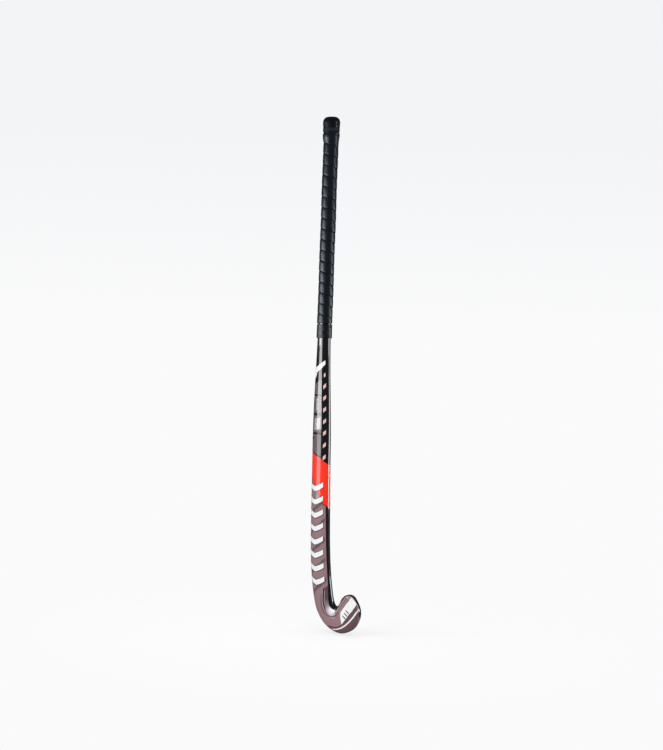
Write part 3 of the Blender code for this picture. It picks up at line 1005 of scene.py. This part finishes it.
def mauve_field():
    """The painted field of the lower shaft and head, and its subtle darker slanting bands."""
    mauve = paint_finish("mauve_paint", (0.268, 0.160, 0.168), mottle=0.05)
    outline = back_line(FIELD_BORDER) + back_line(FIELD_RIM)
    outline += [(HEEL_START, 8.2), (FIELD_HEEL, 7.8)]
    outline += straight_line([(FIELD_HEEL, along) for along in (6.0, 4.0, 2.0, 0.0, -1.5)], 6)
    first_along, first_turn = FIELD_BORDER[0]
    start = section_at(first_along).around(first_turn)
    under_band = reversed(edge_of_band(BAND_LOWER))
    outline += [spot for spot in under_band if start < spot[0] < FIELD_HEEL]
    film("mauve_field", [outline], mauve)

    shade = paint_finish("dark_mauve_paint", (0.128, 0.076, 0.084), mottle=0.08)
    outlines = []
    for top in SHADE_TOPS:
        corners = [(turn, top - fall) for turn, fall in SHADE_CORNERS]
        outlines.append(slanted_area(corners))
    film("slanting_shades", outlines, shade, layer=1.5)


LAST_SLANTED_RIB = 5.0  # as far along the head as any slanted area reaches


def along_at(height, turn):
    """The position along the stick where the back at this turn reaches this height."""
    if height >= HEAD_TOP:
        return along_of(height)
    low, high = 0.0, LAST_SLANTED_RIB
    for _ in range(HALVINGS):
        rib = (low + high) / 2
        section = section_at(round(rib, 6))
        if section.place(*section.back_point(turn)).z > height:
            low = rib
        else:
            high = rib
    return rib


def slanted_area(corners):
    """A straight-sided area of the lower shaft and head, from its corners as (turn, height)."""
    return [on_back(turn, along_at(height, turn)) for turn, height in border(corners, 8)]


# Plain chevrons down the back, by height, and by turn at both ends and the point of each
CHEVRONS = 8
CHEVRON_TOP = 0.2665
CHEVRON_PITCH = 0.0243
CHEVRON_BAY_TURN = 0.92
CHEVRON_POINT_TURN = 1.72
CHEVRON_HEEL_TURN = 2.75
CHEVRON_ARM = 0.0046  # half of an arm's height
CHEVRON_DROP = 0.0085
CHEVRON_EDGE = 0.0011  # how far the dark edge stands out from the white
TURN_LENGTH = 0.017  # of the back's surface, for a turn of 1


def chevrons(black):
    """Plain white chevrons down the back, with thin dark edges."""
    white = paint_finish("white_paint", (0.80, 0.80, 0.80), mottle=0.02, rub=0.2)
    inner, edged = [], []
    for number in range(CHEVRONS):
        centre = CHEVRON_TOP - CHEVRON_PITCH * number
        inner.append(chevron(centre, 0.0))
        edged.append(chevron(centre, CHEVRON_EDGE))
    film("white_chevrons", inner, white, layer=4)
    film("chevron_edges", edged, black, layer=3)
    return white


def chevron(centre, spread):
    """One chevron's outline: its arms fall from both sides to its point."""
    side = spread / TURN_LENGTH
    half = CHEVRON_ARM + spread
    corners = [
        (CHEVRON_BAY_TURN - side, centre + half),
        (CHEVRON_POINT_TURN, centre - CHEVRON_DROP + half),
        (CHEVRON_HEEL_TURN + side, centre + half),
        (CHEVRON_HEEL_TURN + side, centre - half),
        (CHEVRON_POINT_TURN, centre - CHEVRON_DROP - half),
        (CHEVRON_BAY_TURN - side, centre - half),
    ]
    return slanted_area(corners)


# Plain marks of the shaft, with corners as (turn, height)
LOZENGE_HEIGHTS = (0.464, 0.444, 0.423, 0.402, 0.381, 0.360, 0.338, 0.316)
LOZENGE_TURN = 0.85
LOZENGE_DRIFT = 0.004  # how much nearer to the bay each one is than the one above it
LOZENGE_HALF_HEIGHT = 0.0034
PALE_BAR = ((0.79, 0.4905), (1.45, 0.4843), (1.93, 0.4790), (2.55, 0.4770), (2.62, 0.4560),
            (2.25, 0.4575), (2.07, 0.4615), (1.94, 0.4680), (1.70, 0.4714), (1.36, 0.4757),
            (0.77, 0.4830))  # fmt: skip
SIDE_PANELS = (
    ((1.24, 0.4560), (1.24, 0.4290), (3.12, 0.4290), (3.12, 0.4380)),
    ((1.24, 0.4255), (1.24, 0.3950), (3.12, 0.3950), (3.12, 0.4255)),
    ((1.24, 0.3905), (1.24, 0.3600), (3.12, 0.3600), (3.12, 0.3905)),
    ((1.24, 0.3565), (1.24, 0.3165), (1.9, 0.3235), (3.12, 0.3370), (3.12, 0.3565)),
)
INLAYS = (
    ((1.62, 0.4215), (1.62, 0.4000), (1.86, 0.3990), (1.86, 0.4205)),
    ((1.36, 0.3870), (1.36, 0.3660), (2.02, 0.3640), (2.02, 0.3850)),
)
DARK_BLOCKS = (
    ((2.05, 0.3525), (2.05, 0.3490), (2.95, 0.3370), (2.95, 0.3525)),
    ((2.20, 0.4170), (2.20, 0.4010), (2.42, 0.4000), (2.42, 0.4160)),
    ((2.30, 0.3850), (2.30, 0.3670), (2.50, 0.3660), (2.50, 0.3840)),
)


def lozenge(number):
    """One lozenge of the row, numbered from the top: the first is narrower and more level."""
    wide, rise = (0.105, 0.0010) if number == 0 else (0.18, 0.0023)
    middle = LOZENGE_TURN - LOZENGE_DRIFT * number
    height, half = LOZENGE_HEIGHTS[number], LOZENGE_HALF_HEIGHT
    corners = [
        (middle - wide, height + rise + half),
        (middle - wide, height + rise - half),
        (middle + wide, height - rise - half),
        (middle + wide, height - rise + half),
    ]
    return area_on_shaft(corners)


def shaft_marks(black):
    """The row of salmon lozenges, the pale bar above them and the panels beside them."""
    salmon = paint_finish("salmon_paint", (0.76, 0.47, 0.42), mottle=0.04)
    pale = paint_finish("pale_pink_paint", (0.88, 0.80, 0.79), mottle=0.03)
    panel = paint_finish("grey_mauve_paint", (0.115, 0.088, 0.098), mottle=0.12)
    silver = paint_finish("silver_grey_paint", (0.36, 0.34, 0.36), mottle=0.05)
    film("salmon_lozenges", [lozenge(number) for number in range(len(LOZENGE_HEIGHTS))], salmon)
    film("pale_bar", [area_on_shaft(PALE_BAR, 4)], pale)
    film("side_panels", [area_on_shaft(corners, 8) for corners in SIDE_PANELS], panel)
    film("panel_inlays", [area_on_shaft(corners) for corners in INLAYS], silver, layer=2)
    film("panel_blocks", [area_on_shaft(corners) for corners in DARK_BLOCKS], black, layer=2)


# Spots of the toe's paint as (along, turn): the white panel's four sides, its stripe, the top of
# the dark paint, and the pale and dark lines along the rim and the bay
PANEL_RIM = ((9.98, 2.22), (10.08, 2.42), (9.77, 2.69), (9.50, 2.84), (9.44, 2.86))
PANEL_FOOT = ((9.44, 2.86), (9.36, 2.66), (9.15, 2.36), (8.87, 2.12), (8.17, 1.86), (7.58, 1.78),
              (7.05, 1.785), (6.64, 1.89))  # fmt: skip
PANEL_SIDE = ((6.64, 1.89), (6.69, 1.72), (6.77, 1.54), (6.92, 1.40), (7.11, 1.275))
PANEL_BACK = ((7.11, 1.275), (7.64, 1.293), (8.36, 1.366), (8.80, 1.44), (9.17, 1.535),
              (9.68, 1.833), (9.98, 2.22))  # fmt: skip
STRIPE_SPOTS = ((9.07, 2.90), (8.78, 2.58), (8.46, 2.36), (8.02, 2.22), (7.60, 2.12), (7.17, 2.08),
                (6.78, 2.10), (6.37, 2.15), (5.98, 2.24), (5.68, 2.39), (5.50, 2.52))  # fmt: skip
STRIPE_WIDTHS = (0.0022, 0.0026, 0.0028, 0.0027, 0.0026, 0.0026, 0.0026, 0.0025, 0.0022, 0.0016,
                 0.0006)  # fmt: skip
DARK_TOP = ((6.64, 1.89), (6.26, 1.95), (5.75, 2.03), (5.45, 2.16), (5.25, 2.32))
RIM_LIGHT = ((10.08, 1.55), (10.33, 1.96), (10.16, 2.43), (9.76, 2.73), (9.49, 2.89), (9.22, 3.00))
INNER_PALE = ((6.10, 0.985), (6.45, 0.93), (6.83, 0.88), (7.40, 0.865), (7.90, 0.89), (8.50, 0.93),
              (9.10, 1.01), (9.60, 1.13), (10.02, 1.34))  # fmt: skip
INNER_DARK = ((5.95, 1.08), (6.25, 1.05), (6.55, 1.01), (7.00, 0.96), (7.40, 0.955), (8.00, 0.99),
              (8.62, 1.07), (9.20, 1.17), (9.75, 1.36), (10.00, 1.56))  # fmt: skip

# The panel's slanting bars, in the front view: (x, z) of the first, and the steps from it
FIRST_MARK = Vector((0.0600, 0.0345))
MARK_PITCH = Vector((0.0038, 0.0052))
MARK_WIDTH = Vector((0.60, 0.80)) * 0.0019
MARK_LENGTH = Vector((0.80, -0.60)) * 0.0085

# The row of short ticks along the toe's inner edge, each with corners at (turn, along)
HATCHES = 15
HATCH_START = 6.95
HATCH_PITCH = 0.17
HATCH_CORNERS = ((0.50, 0.0), (0.50, 0.07), (0.66, 0.13), (0.66, 0.06))


def toe_marks(white, black):
    """The white panel of the toe, its thin stripes, and the darker paint under them."""
    dark = paint_finish("toe_dark_mauve_paint", (0.118, 0.066, 0.072), mottle=0.08)
    pale = paint_finish("pale_line_paint", (0.66, 0.52, 0.53), mottle=0.03)
    outline = back_line(PANEL_FOOT) + back_line(DARK_TOP)[1:]
    outline.append((HEEL_START, 5.1))
    outline += straight_line([(FIELD_HEEL, 5.2), (FIELD_HEEL, 7.0), (FIELD_HEEL, 7.4)], 6)
    outline.append((HEEL_START, 7.7))
    outline += back_line(((7.92, 2.99), (8.40, 2.93), (8.86, 2.93), (9.18, 2.97), (9.36, 2.94)))
    film("toe_dark_paint", [outline], dark, layer=2)
    panel = back_line(PANEL_RIM) + back_line(PANEL_FOOT)[1:]
    panel += back_line(PANEL_SIDE)[1:] + back_line(PANEL_BACK)[1:-1]
    film("toe_panel", [panel], white, layer=3)
    film("toe_stripe", [line_on_back(STRIPE_SPOTS, STRIPE_WIDTHS)], white, layer=3)
    marks = [area_on_head(slanted_mark(FIRST_MARK + MARK_PITCH * number)) for number in range(3)]
    film("toe_marks", marks, black, layer=4)
    lights = [even_line(RIM_LIGHT, 0.0009, 0.0005), even_line(INNER_PALE, 0.0009)]
    film("toe_inner_line", lights, pale, layer=4)
    film("toe_inner_shade", [even_line(INNER_DARK, 0.0010)], dark, layer=2)
    hatch = []
    for number in range(HATCHES):
        first = HATCH_START + HATCH_PITCH * number
        hatch.append([on_back(turn, first + along) for turn, along in HATCH_CORNERS])
    film("toe_edge_hatching", hatch, pale, layer=1)


def slanted_mark(low):
    """A small slanting bar of the toe's panel, square to the panel's long side."""
    return [low, low + MARK_WIDTH, low + MARK_WIDTH + MARK_LENGTH, low + MARK_LENGTH]


CREASE_SHADE = ((3.05, 1.36), (3.40, 1.46), (3.80, 1.55), (4.20, 1.605), (4.55, 1.61), (4.90, 1.56),
                (5.30, 1.50), (5.70, 1.40), (6.10, 1.29), (6.50, 1.22), (6.85, 1.17))  # fmt: skip


def crease_lines(black):
    """The crease: its dark line, the painted highlight on each lip and the scoop's fading paint."""
    pale = paint_finish("crease_lip_painted_highlight", (0.45, 0.40, 0.41), mottle=0.03)
    purple = paint_finish("crease_shade_paint", (0.098, 0.066, 0.080), mottle=0.05)
    scoop = scoop_highlight_finish()

    def beside(rib, away):
        return rib, head_section(rib).crease + away

    outline = back_line([spot for spot in FIELD_BORDER if 2.4 < spot[0] < 6.7], 4)
    outline += back_line([(6.5, 1.19), (6.1, 1.27), (5.7, 1.38), (5.3, 1.43), (4.9, 1.44)], 4)
    outline += back_line([beside(rib, 0.0) for rib in (4.6, 4.2, 3.8, 3.4, 3.0, 2.75)], 4)
    # The scoop's silver paint, with a painted highlight in its bend
    film("scoop_paint_and_painted_highlight", [outline], scoop, layer=2)
    film("crease_shade", [even_line(CREASE_SHADE, 0.0019)], purple, layer=3)
    # The dark line down the crease's groove: partly a dark stripe, partly painted shade of the groove
    ribs = (2.74, 2.79, 2.9, 3.3, 3.8, 4.2, 4.45, 4.65)
    widths = (0.0005, 0.0012, 0.0015, 0.0016, 0.0016, 0.0014, 0.0009, 0.0003)
    groove_line_and_shade = line_on_back([beside(rib, 0.01) for rib in ribs], widths)
    film("crease_groove_line_and_painted_shade", [groove_line_and_shade], black, layer=4)
    # The pale lines on the crease's two lips are painted highlights
    ribs = (2.80, 2.95, 3.3, 3.7, 4.1, 4.4)
    widths = (0.0004, 0.0009, 0.0010, 0.0010, 0.0008, 0.0003)
    lips = [line_on_back([beside(rib, away) for rib in ribs], widths) for away in (0.095, -0.095)]
    film("crease_lip_painted_highlights", lips, pale, layer=4)


SCOOP_PAINTED_HIGHLIGHT = Vector((0.0315, 0.0, 0.0385))  # brightest place of the scoop's silver paint, a painted highlight


def scoop_highlight_finish():
    """Silver paint with a painted highlight in the scoop's bend, fading to dark mauve up the shaft's
    side.
    """
    material, tree, shader = new_finish("scoop_fading_paint_and_painted_highlight", **PAINT_COAT)
    place = node(tree, "TexCoord").outputs["Object"]
    centre = SCOOP_PAINTED_HIGHLIGHT + AXIS
    away = node(tree, "VectorMath", {0: place, 1: centre}, operation="SUBTRACT").outputs[0]
    flattened = node(
        tree, "VectorMath", {0: away, 1: (1.0, 0.0, 1.0)}, operation="MULTIPLY"
    ).outputs[0]
    distance = node(tree, "VectorMath", {0: flattened}, operation="LENGTH").outputs["Value"]
    near = stretch_of(tree, distance, 0.004, 0.013)
    far = stretch_of(tree, distance, 0.011, 0.024)
    # Near the centre the silver is partly paint and partly a painted highlight
    silver = blend_of(tree, near, (0.58, 0.56, 0.61, 1), (0.27, 0.20, 0.22, 1))
    shown = blend_of(tree, far, silver, (0.085, 0.052, 0.060, 1))
    paint = placed_group(tree, LACQUER, Mottle=0.06, Gloss=0.32)
    join(tree, paint, Paint=shown)
    join_lacquer(tree, shader, paint, paint.outputs["Colour"], paint.outputs["Height"])
    return material


BLACK = bright_band()
mauve_field()
WHITE = chevrons(BLACK)
shaft_marks(BLACK)
toe_marks(WHITE, BLACK)
crease_lines(BLACK)

# ---- grip ----------------------------------------------------------------------------------

WRAP_PITCH = 0.01915
WRAP_FIRST_EDGE = 0.8814  # height of the first turn's lower edge at the view's left side
WRAP_STEPS = 60  # stations in one turn
WRAP_TURNS = 18.6
WRAP_WIDTH = 0.0226
# Section of the tape: (distance out from the grip's surface, height over its lower edge)
TAPE_SECTION = (
    (-0.00115, 0.0000), (-0.0009, -0.00004), (-0.00062, 0.00010), (-0.00040, 0.00034),
    (-0.00024, 0.00070), (-0.00012, 0.00120), (-0.00004, 0.0022), (0.0, 0.0050),
    (-0.00002, 0.0110), (-0.00014, 0.0152), (-0.00040, 0.0178), (-0.00075, 0.0190),
    (-0.00125, 0.0198), (-0.0014, 0.0226), (-0.0017, 0.0226), (-0.0017, 0.0198),
    (-0.0013, 0.0150), (-0.0012, 0.0070),
)  # fmt: skip


EDGE_STEPS = 5  # in the rounded edge of a band
BAND_GAP = 0.0003  # between a band or the cap and what it goes round
CAP_LIP = 0.0004
CAP_SIDE_STEPS = 8
CAP_DOME_STEPS = 20
# The dish in the cap's top, as (distance in from the rim, depth under the top)
CAP_DISH = ((0.0096, 0.0), (0.0099, 0.0001), (0.0102, 0.0005), (0.0108, 0.0006),
            (0.0113, 0.0003), (0.0120, 0.0002), (0.0130, 0.0002))  # fmt: skip


def grip_surface(height):
    """Half width and half depth of the grip at a height."""
    flare = FLARE * ease((height - FLARE_FOOT) / (FLARE_TOP - FLARE_FOOT))
    return GRIP_HALF_WIDTH + flare, GRIP_HALF_DEPTH + flare


def wrap_station(turn_number):
    """The tape's section at a number of turns from the first edge."""
    turn = CAMERA_AZIMUTH + math.pi + 2 * math.pi * turn_number
    edge = WRAP_FIRST_EDGE - WRAP_PITCH * turn_number
    foot = max(edge, GRIP_FOOT)
    room = min(GRIP_TOP - foot, edge + WRAP_WIDTH - foot)
    squeeze = max(room, 0.0004) / WRAP_WIDTH
    stretch = 0.00012 * math.sin(turn_number * 5.3) + 0.00008 * math.sin(turn_number * 17.9)
    points = []
    for out, rise in TAPE_SECTION:
        height = foot + rise * min(1.0, squeeze)
        wide, deep = grip_surface(height)
        out += (stretch if out > -0.001 else 0) + 0.0004
        spot = Vector(((wide + out) * math.cos(turn), (deep + out) * math.sin(turn), height))
        points.append(AXIS + spot)
    return points


def grip():
    """Cushioned tape wound down the handle, each turn lapped by the one above it."""
    start = (WRAP_FIRST_EDGE - GRIP_TOP) / WRAP_PITCH + 0.02
    count = round((WRAP_TURNS - start) * WRAP_STEPS)
    rings = [wrap_station(mix(start, WRAP_TURNS, step / count)) for step in range(count + 1)]
    leather = leather_finish("black_grip_leather", (0.0034, 0.0046, 0.0075), 1100, 0.30, 0.00003)
    add_piece("grip_wrap_turns", skinned(rings), leather, ["grip_wrap"])


def band_rings(outside, inside, top, foot, edge):
    """Rings of a band with rounded edges, from outside[0] at its foot to outside[1] at its top."""
    turns = [math.pi / 2 * step / EDGE_STEPS for step in range(EDGE_STEPS + 1)]
    edges = [(edge * (1 - math.sin(turn)), edge * (1 - math.cos(turn))) for turn in turns]
    levels = [(foot + rise, back) for rise, back in edges[::-1]]
    levels += [(top - rise, back) for rise, back in edges]
    made = []
    for height, back in levels:
        share = (height - foot) / (top - foot)
        wide = mix(outside[0][0], outside[1][0], share) - back
        deep = mix(outside[0][1], outside[1][1], share) - back
        made.append(oval(wide, deep, height))
    made += [oval(*inside, top), oval(*inside, foot)]
    return made


def collar():
    """Matt collar between the cap's rim and the grip."""
    size = (BAND_HALF_WIDTH, BAND_HALF_DEPTH)
    inner = (SKIRT_HALF_WIDTH + BAND_GAP, SKIRT_HALF_DEPTH + BAND_GAP)
    rings = band_rings((size, size), inner, BAND_TOP, BAND_FOOT, 0.0006)
    finish = rubber_finish("matt_black_collar", (0.009, 0.011, 0.015), 0.5, 0.01, relief=0.00006)
    bm = skinned(rings, closed_ends=False)
    add_piece("collar", bm, finish, ["grip_top_band"])


def finishing_tape():
    """Tape that binds the grip's lower end: a wide band with rounded edges."""
    foot = (TAPE_HALF_WIDTH_FOOT, TAPE_HALF_DEPTH)
    top = (TAPE_HALF_WIDTH_TOP, TAPE_HALF_DEPTH - 0.0001)
    rings = band_rings((foot, top), TAPE_INSIDE, TAPE_TOP, TAPE_FOOT, 0.0005)
    finish = leather_finish("black_binding_tape", (0.0040, 0.0046, 0.006), 2100, 0.26, 0.00004)
    bm = skinned(rings, closed_ends=False)
    add_piece("binding_tape", bm, finish, ["finishing_tape"])


def cap():
    """Rubber cap with a domed top, a shallow dish and ring in it, and its inner skirt."""
    top = cad_box[1].z
    widest = top - CAP_DOME_HEIGHT
    outline = [(CAP_TUCK + CAP_LIP, CAP_FOOT)]
    for share in (step / CAP_SIDE_STEPS for step in range(CAP_SIDE_STEPS)):
        inset = CAP_TUCK * (1 - math.sin(math.pi / 2 * share))
        outline.append((inset, mix(CAP_FOOT + CAP_LIP, widest, share)))
    for turn in (math.pi / 2 * step / CAP_DOME_STEPS for step in range(CAP_DOME_STEPS + 1)):
        inset = CAP_DOME_WIDTH * (1 - math.cos(turn))
        outline.append((inset, widest + CAP_DOME_HEIGHT * math.sin(turn)))
    outline += [(inset, top - drop) for inset, drop in CAP_DISH]
    inner = (HANDLE_HALF_WIDTH + BAND_GAP, HANDLE_HALF_DEPTH + BAND_GAP)
    rings = [oval(*inner, MOUTH_TOP + BAND_GAP), oval(*inner, SKIRT_FOOT)]
    rings += [oval(SKIRT_HALF_WIDTH, SKIRT_HALF_DEPTH, height) for height in (SKIRT_FOOT, CAP_FOOT)]
    rings += [
        oval(CAP_HALF_WIDTH - inset, CAP_HALF_DEPTH - inset, height) for inset, height in outline
    ]
    bm = skinned(rings)
    finish = rubber_finish("gloss_black_cap", (0.0010, 0.0017, 0.0042), 0.4, 0.004, coat=0.5)
    add_piece("cap", bm, finish, ["end_cap"])


grip()
collar()
finishing_tape()
cap()

# ---- inner pieces: better finishes ---------------------------------------------------------

INNER_FINISHES = {
    "head_core": foam_finish("head_core_foam", (0.72, 0.60, 0.38), 800),
    "handle_filler": foam_finish("handle_filler_foam", (0.78, 0.76, 0.66), 1200),
    "core_tube_heel_side": laminate_finish(),
    "end_plug": rubber_finish("grey_plug_nylon", (0.22, 0.22, 0.23), 0.45, 0.1),
}
INNER_FINISHES["core_tube_toe_side"] = INNER_FINISHES["core_tube_heel_side"]
for name, finish in INNER_FINISHES.items():
    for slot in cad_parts[name].material_slots:
        slot.material = finish

# ---- studio --------------------------------------------------------------------------------


def softbox(name, azimuth, distance, foot, size, power, use):
    """An upright soft light that faces the stick: azimuth 0 is on its -Y side, 90 on its +X."""
    turn = math.radians(azimuth)
    back = Vector((math.sin(turn), -math.cos(turn), 0))
    middle = back * distance + Vector((0, 0, foot + size[1] / 2))
    place_light(name, middle, back, size, power, use)


def place_light(name, middle, back, size, power, use):
    """A light whose back is turned this way, seen in reflections or only filling shadows."""
    data = bpy.data.lights.new(name, "AREA")
    data.shape = "RECTANGLE"
    data.size, data.size_y = size
    data.energy = power
    light = bpy.data.objects.new(name, data)
    light.location = middle
    light.rotation_mode = "QUATERNION"
    light.rotation_quaternion = back.to_track_quat("Z", "Y")
    light.visible_diffuse = use == "fill"
    light.visible_glossy = use == "reflection"
    light.visible_camera = False
    scene.collection.objects.link(light)


# Soft lights: name, azimuth, distance, height of the foot, size, power, and what each is for
SOFTBOXES = (
    ("left_window", -32, 1.6, 0.22, (0.88, 0.42), 8.6, "reflection"),
    ("left_window_foot", -32, 1.6, -0.05, (0.60, 0.26), 1.5, "reflection"),
    ("left_high_window", -47, 1.6, 0.50, (0.88, 0.34), 6.2, "reflection"),
    ("left_fill", -30, 1.8, 0.3, (1.4, 1.4), 20, "fill"),
    ("right_strip", 126, 1.6, 0.06, (0.50, 0.56), 9.5, "reflection"),
    ("right_high", 104, 1.6, 0.56, (0.60, 0.30), 3.0, "reflection"),
    ("right_glint", 98, 1.6, 1.25, (0.26, 0.08), 1.8, "reflection"),
    ("right_low_glint", 98, 1.6, 1.03, (0.22, 0.05), 0.8, "reflection"),
    ("left_glint", -48, 1.6, 1.00, (0.22, 0.05), 0.35, "reflection"),
    ("right_fill", 70, 2.2, 0.5, (1.4, 1.4), 16, "fill"),
)


def studio():
    """The soft lights, and a pale background that lights and reflects less than it shows."""
    for softbox_row in SOFTBOXES:
        softbox(*softbox_row)
    place_light("top", Vector((0, 0, 2.4)), Vector((0, 0, 1)), (1.8, 1.8), 18, "fill")
    world = bpy.data.worlds.new("pale_studio")
    scene.world = world
    world.use_nodes = True
    tree = world.node_tree
    background = tree.nodes["Background"]
    path = node(tree, "LightPath")
    up = node(tree, "SeparateXYZ", {0: node(tree, "TexCoord").outputs["Generated"]}).outputs[2]
    pale = blend_of(
        tree, stretch_of(tree, up, 0.0, 0.12), (0.955, 0.955, 0.96, 1), (0.895, 0.905, 0.92, 1)
    )
    glossy = path.outputs["Is Glossy Ray"]
    dim = blend_of(tree, glossy, (0.68, 0.68, 0.70, 1), (0.06, 0.06, 0.065, 1))
    shown = blend_of(tree, path.outputs["Is Camera Ray"], dim, pale)
    tree.links.new(shown, background.inputs["Color"])


FLOOR_GAP = 0.0004  # under the stick
FLOOR_RADIUS = 3.0
FADE_START = 0.10  # distances from the middle where the floor starts and ends its fading
FADE_END = 0.55


def floor():
    """A pale floor that fades into the studio round it."""
    bm = bmesh.new()
    bmesh.ops.create_circle(bm, cap_ends=True, segments=96, radius=FLOOR_RADIUS)
    mesh = bpy.data.meshes.new("floor")
    bm.to_mesh(mesh)
    bm.free()
    ground = bpy.data.objects.new("floor", mesh)
    ground.location.z = -FLOOR_GAP
    scene.collection.objects.link(ground)
    material = bpy.data.materials.new("pale_floor")
    material.use_nodes = True
    tree = material.node_tree
    shader = tree.nodes["Principled BSDF"]
    shader.inputs["Base Color"].default_value = (0.26, 0.26, 0.26, 1)
    shader.inputs["Specular IOR Level"].default_value = 0.0
    shader.inputs["Emission Color"].default_value = (0.955, 0.955, 0.965, 1)
    shader.inputs["Emission Strength"].default_value = 0.70
    shader.inputs["Roughness"].default_value = 0.6
    distance = node(
        tree, "VectorMath", {0: node(tree, "TexCoord").outputs["Object"]}, operation="LENGTH"
    ).outputs["Value"]
    faded = stretch_of(tree, distance, FADE_START, FADE_END)
    clear = node(tree, "BsdfTransparent").outputs[0]
    mixed = node(tree, "MixShader", {0: faded, 1: shader.outputs[0], 2: clear}).outputs[0]
    tree.links.new(mixed, tree.nodes["Material Output"].inputs["Surface"])
    mesh.materials.append(material)
    ground.visible_glossy = False


studio()
floor()
scene.view_settings.view_transform = "Standard"
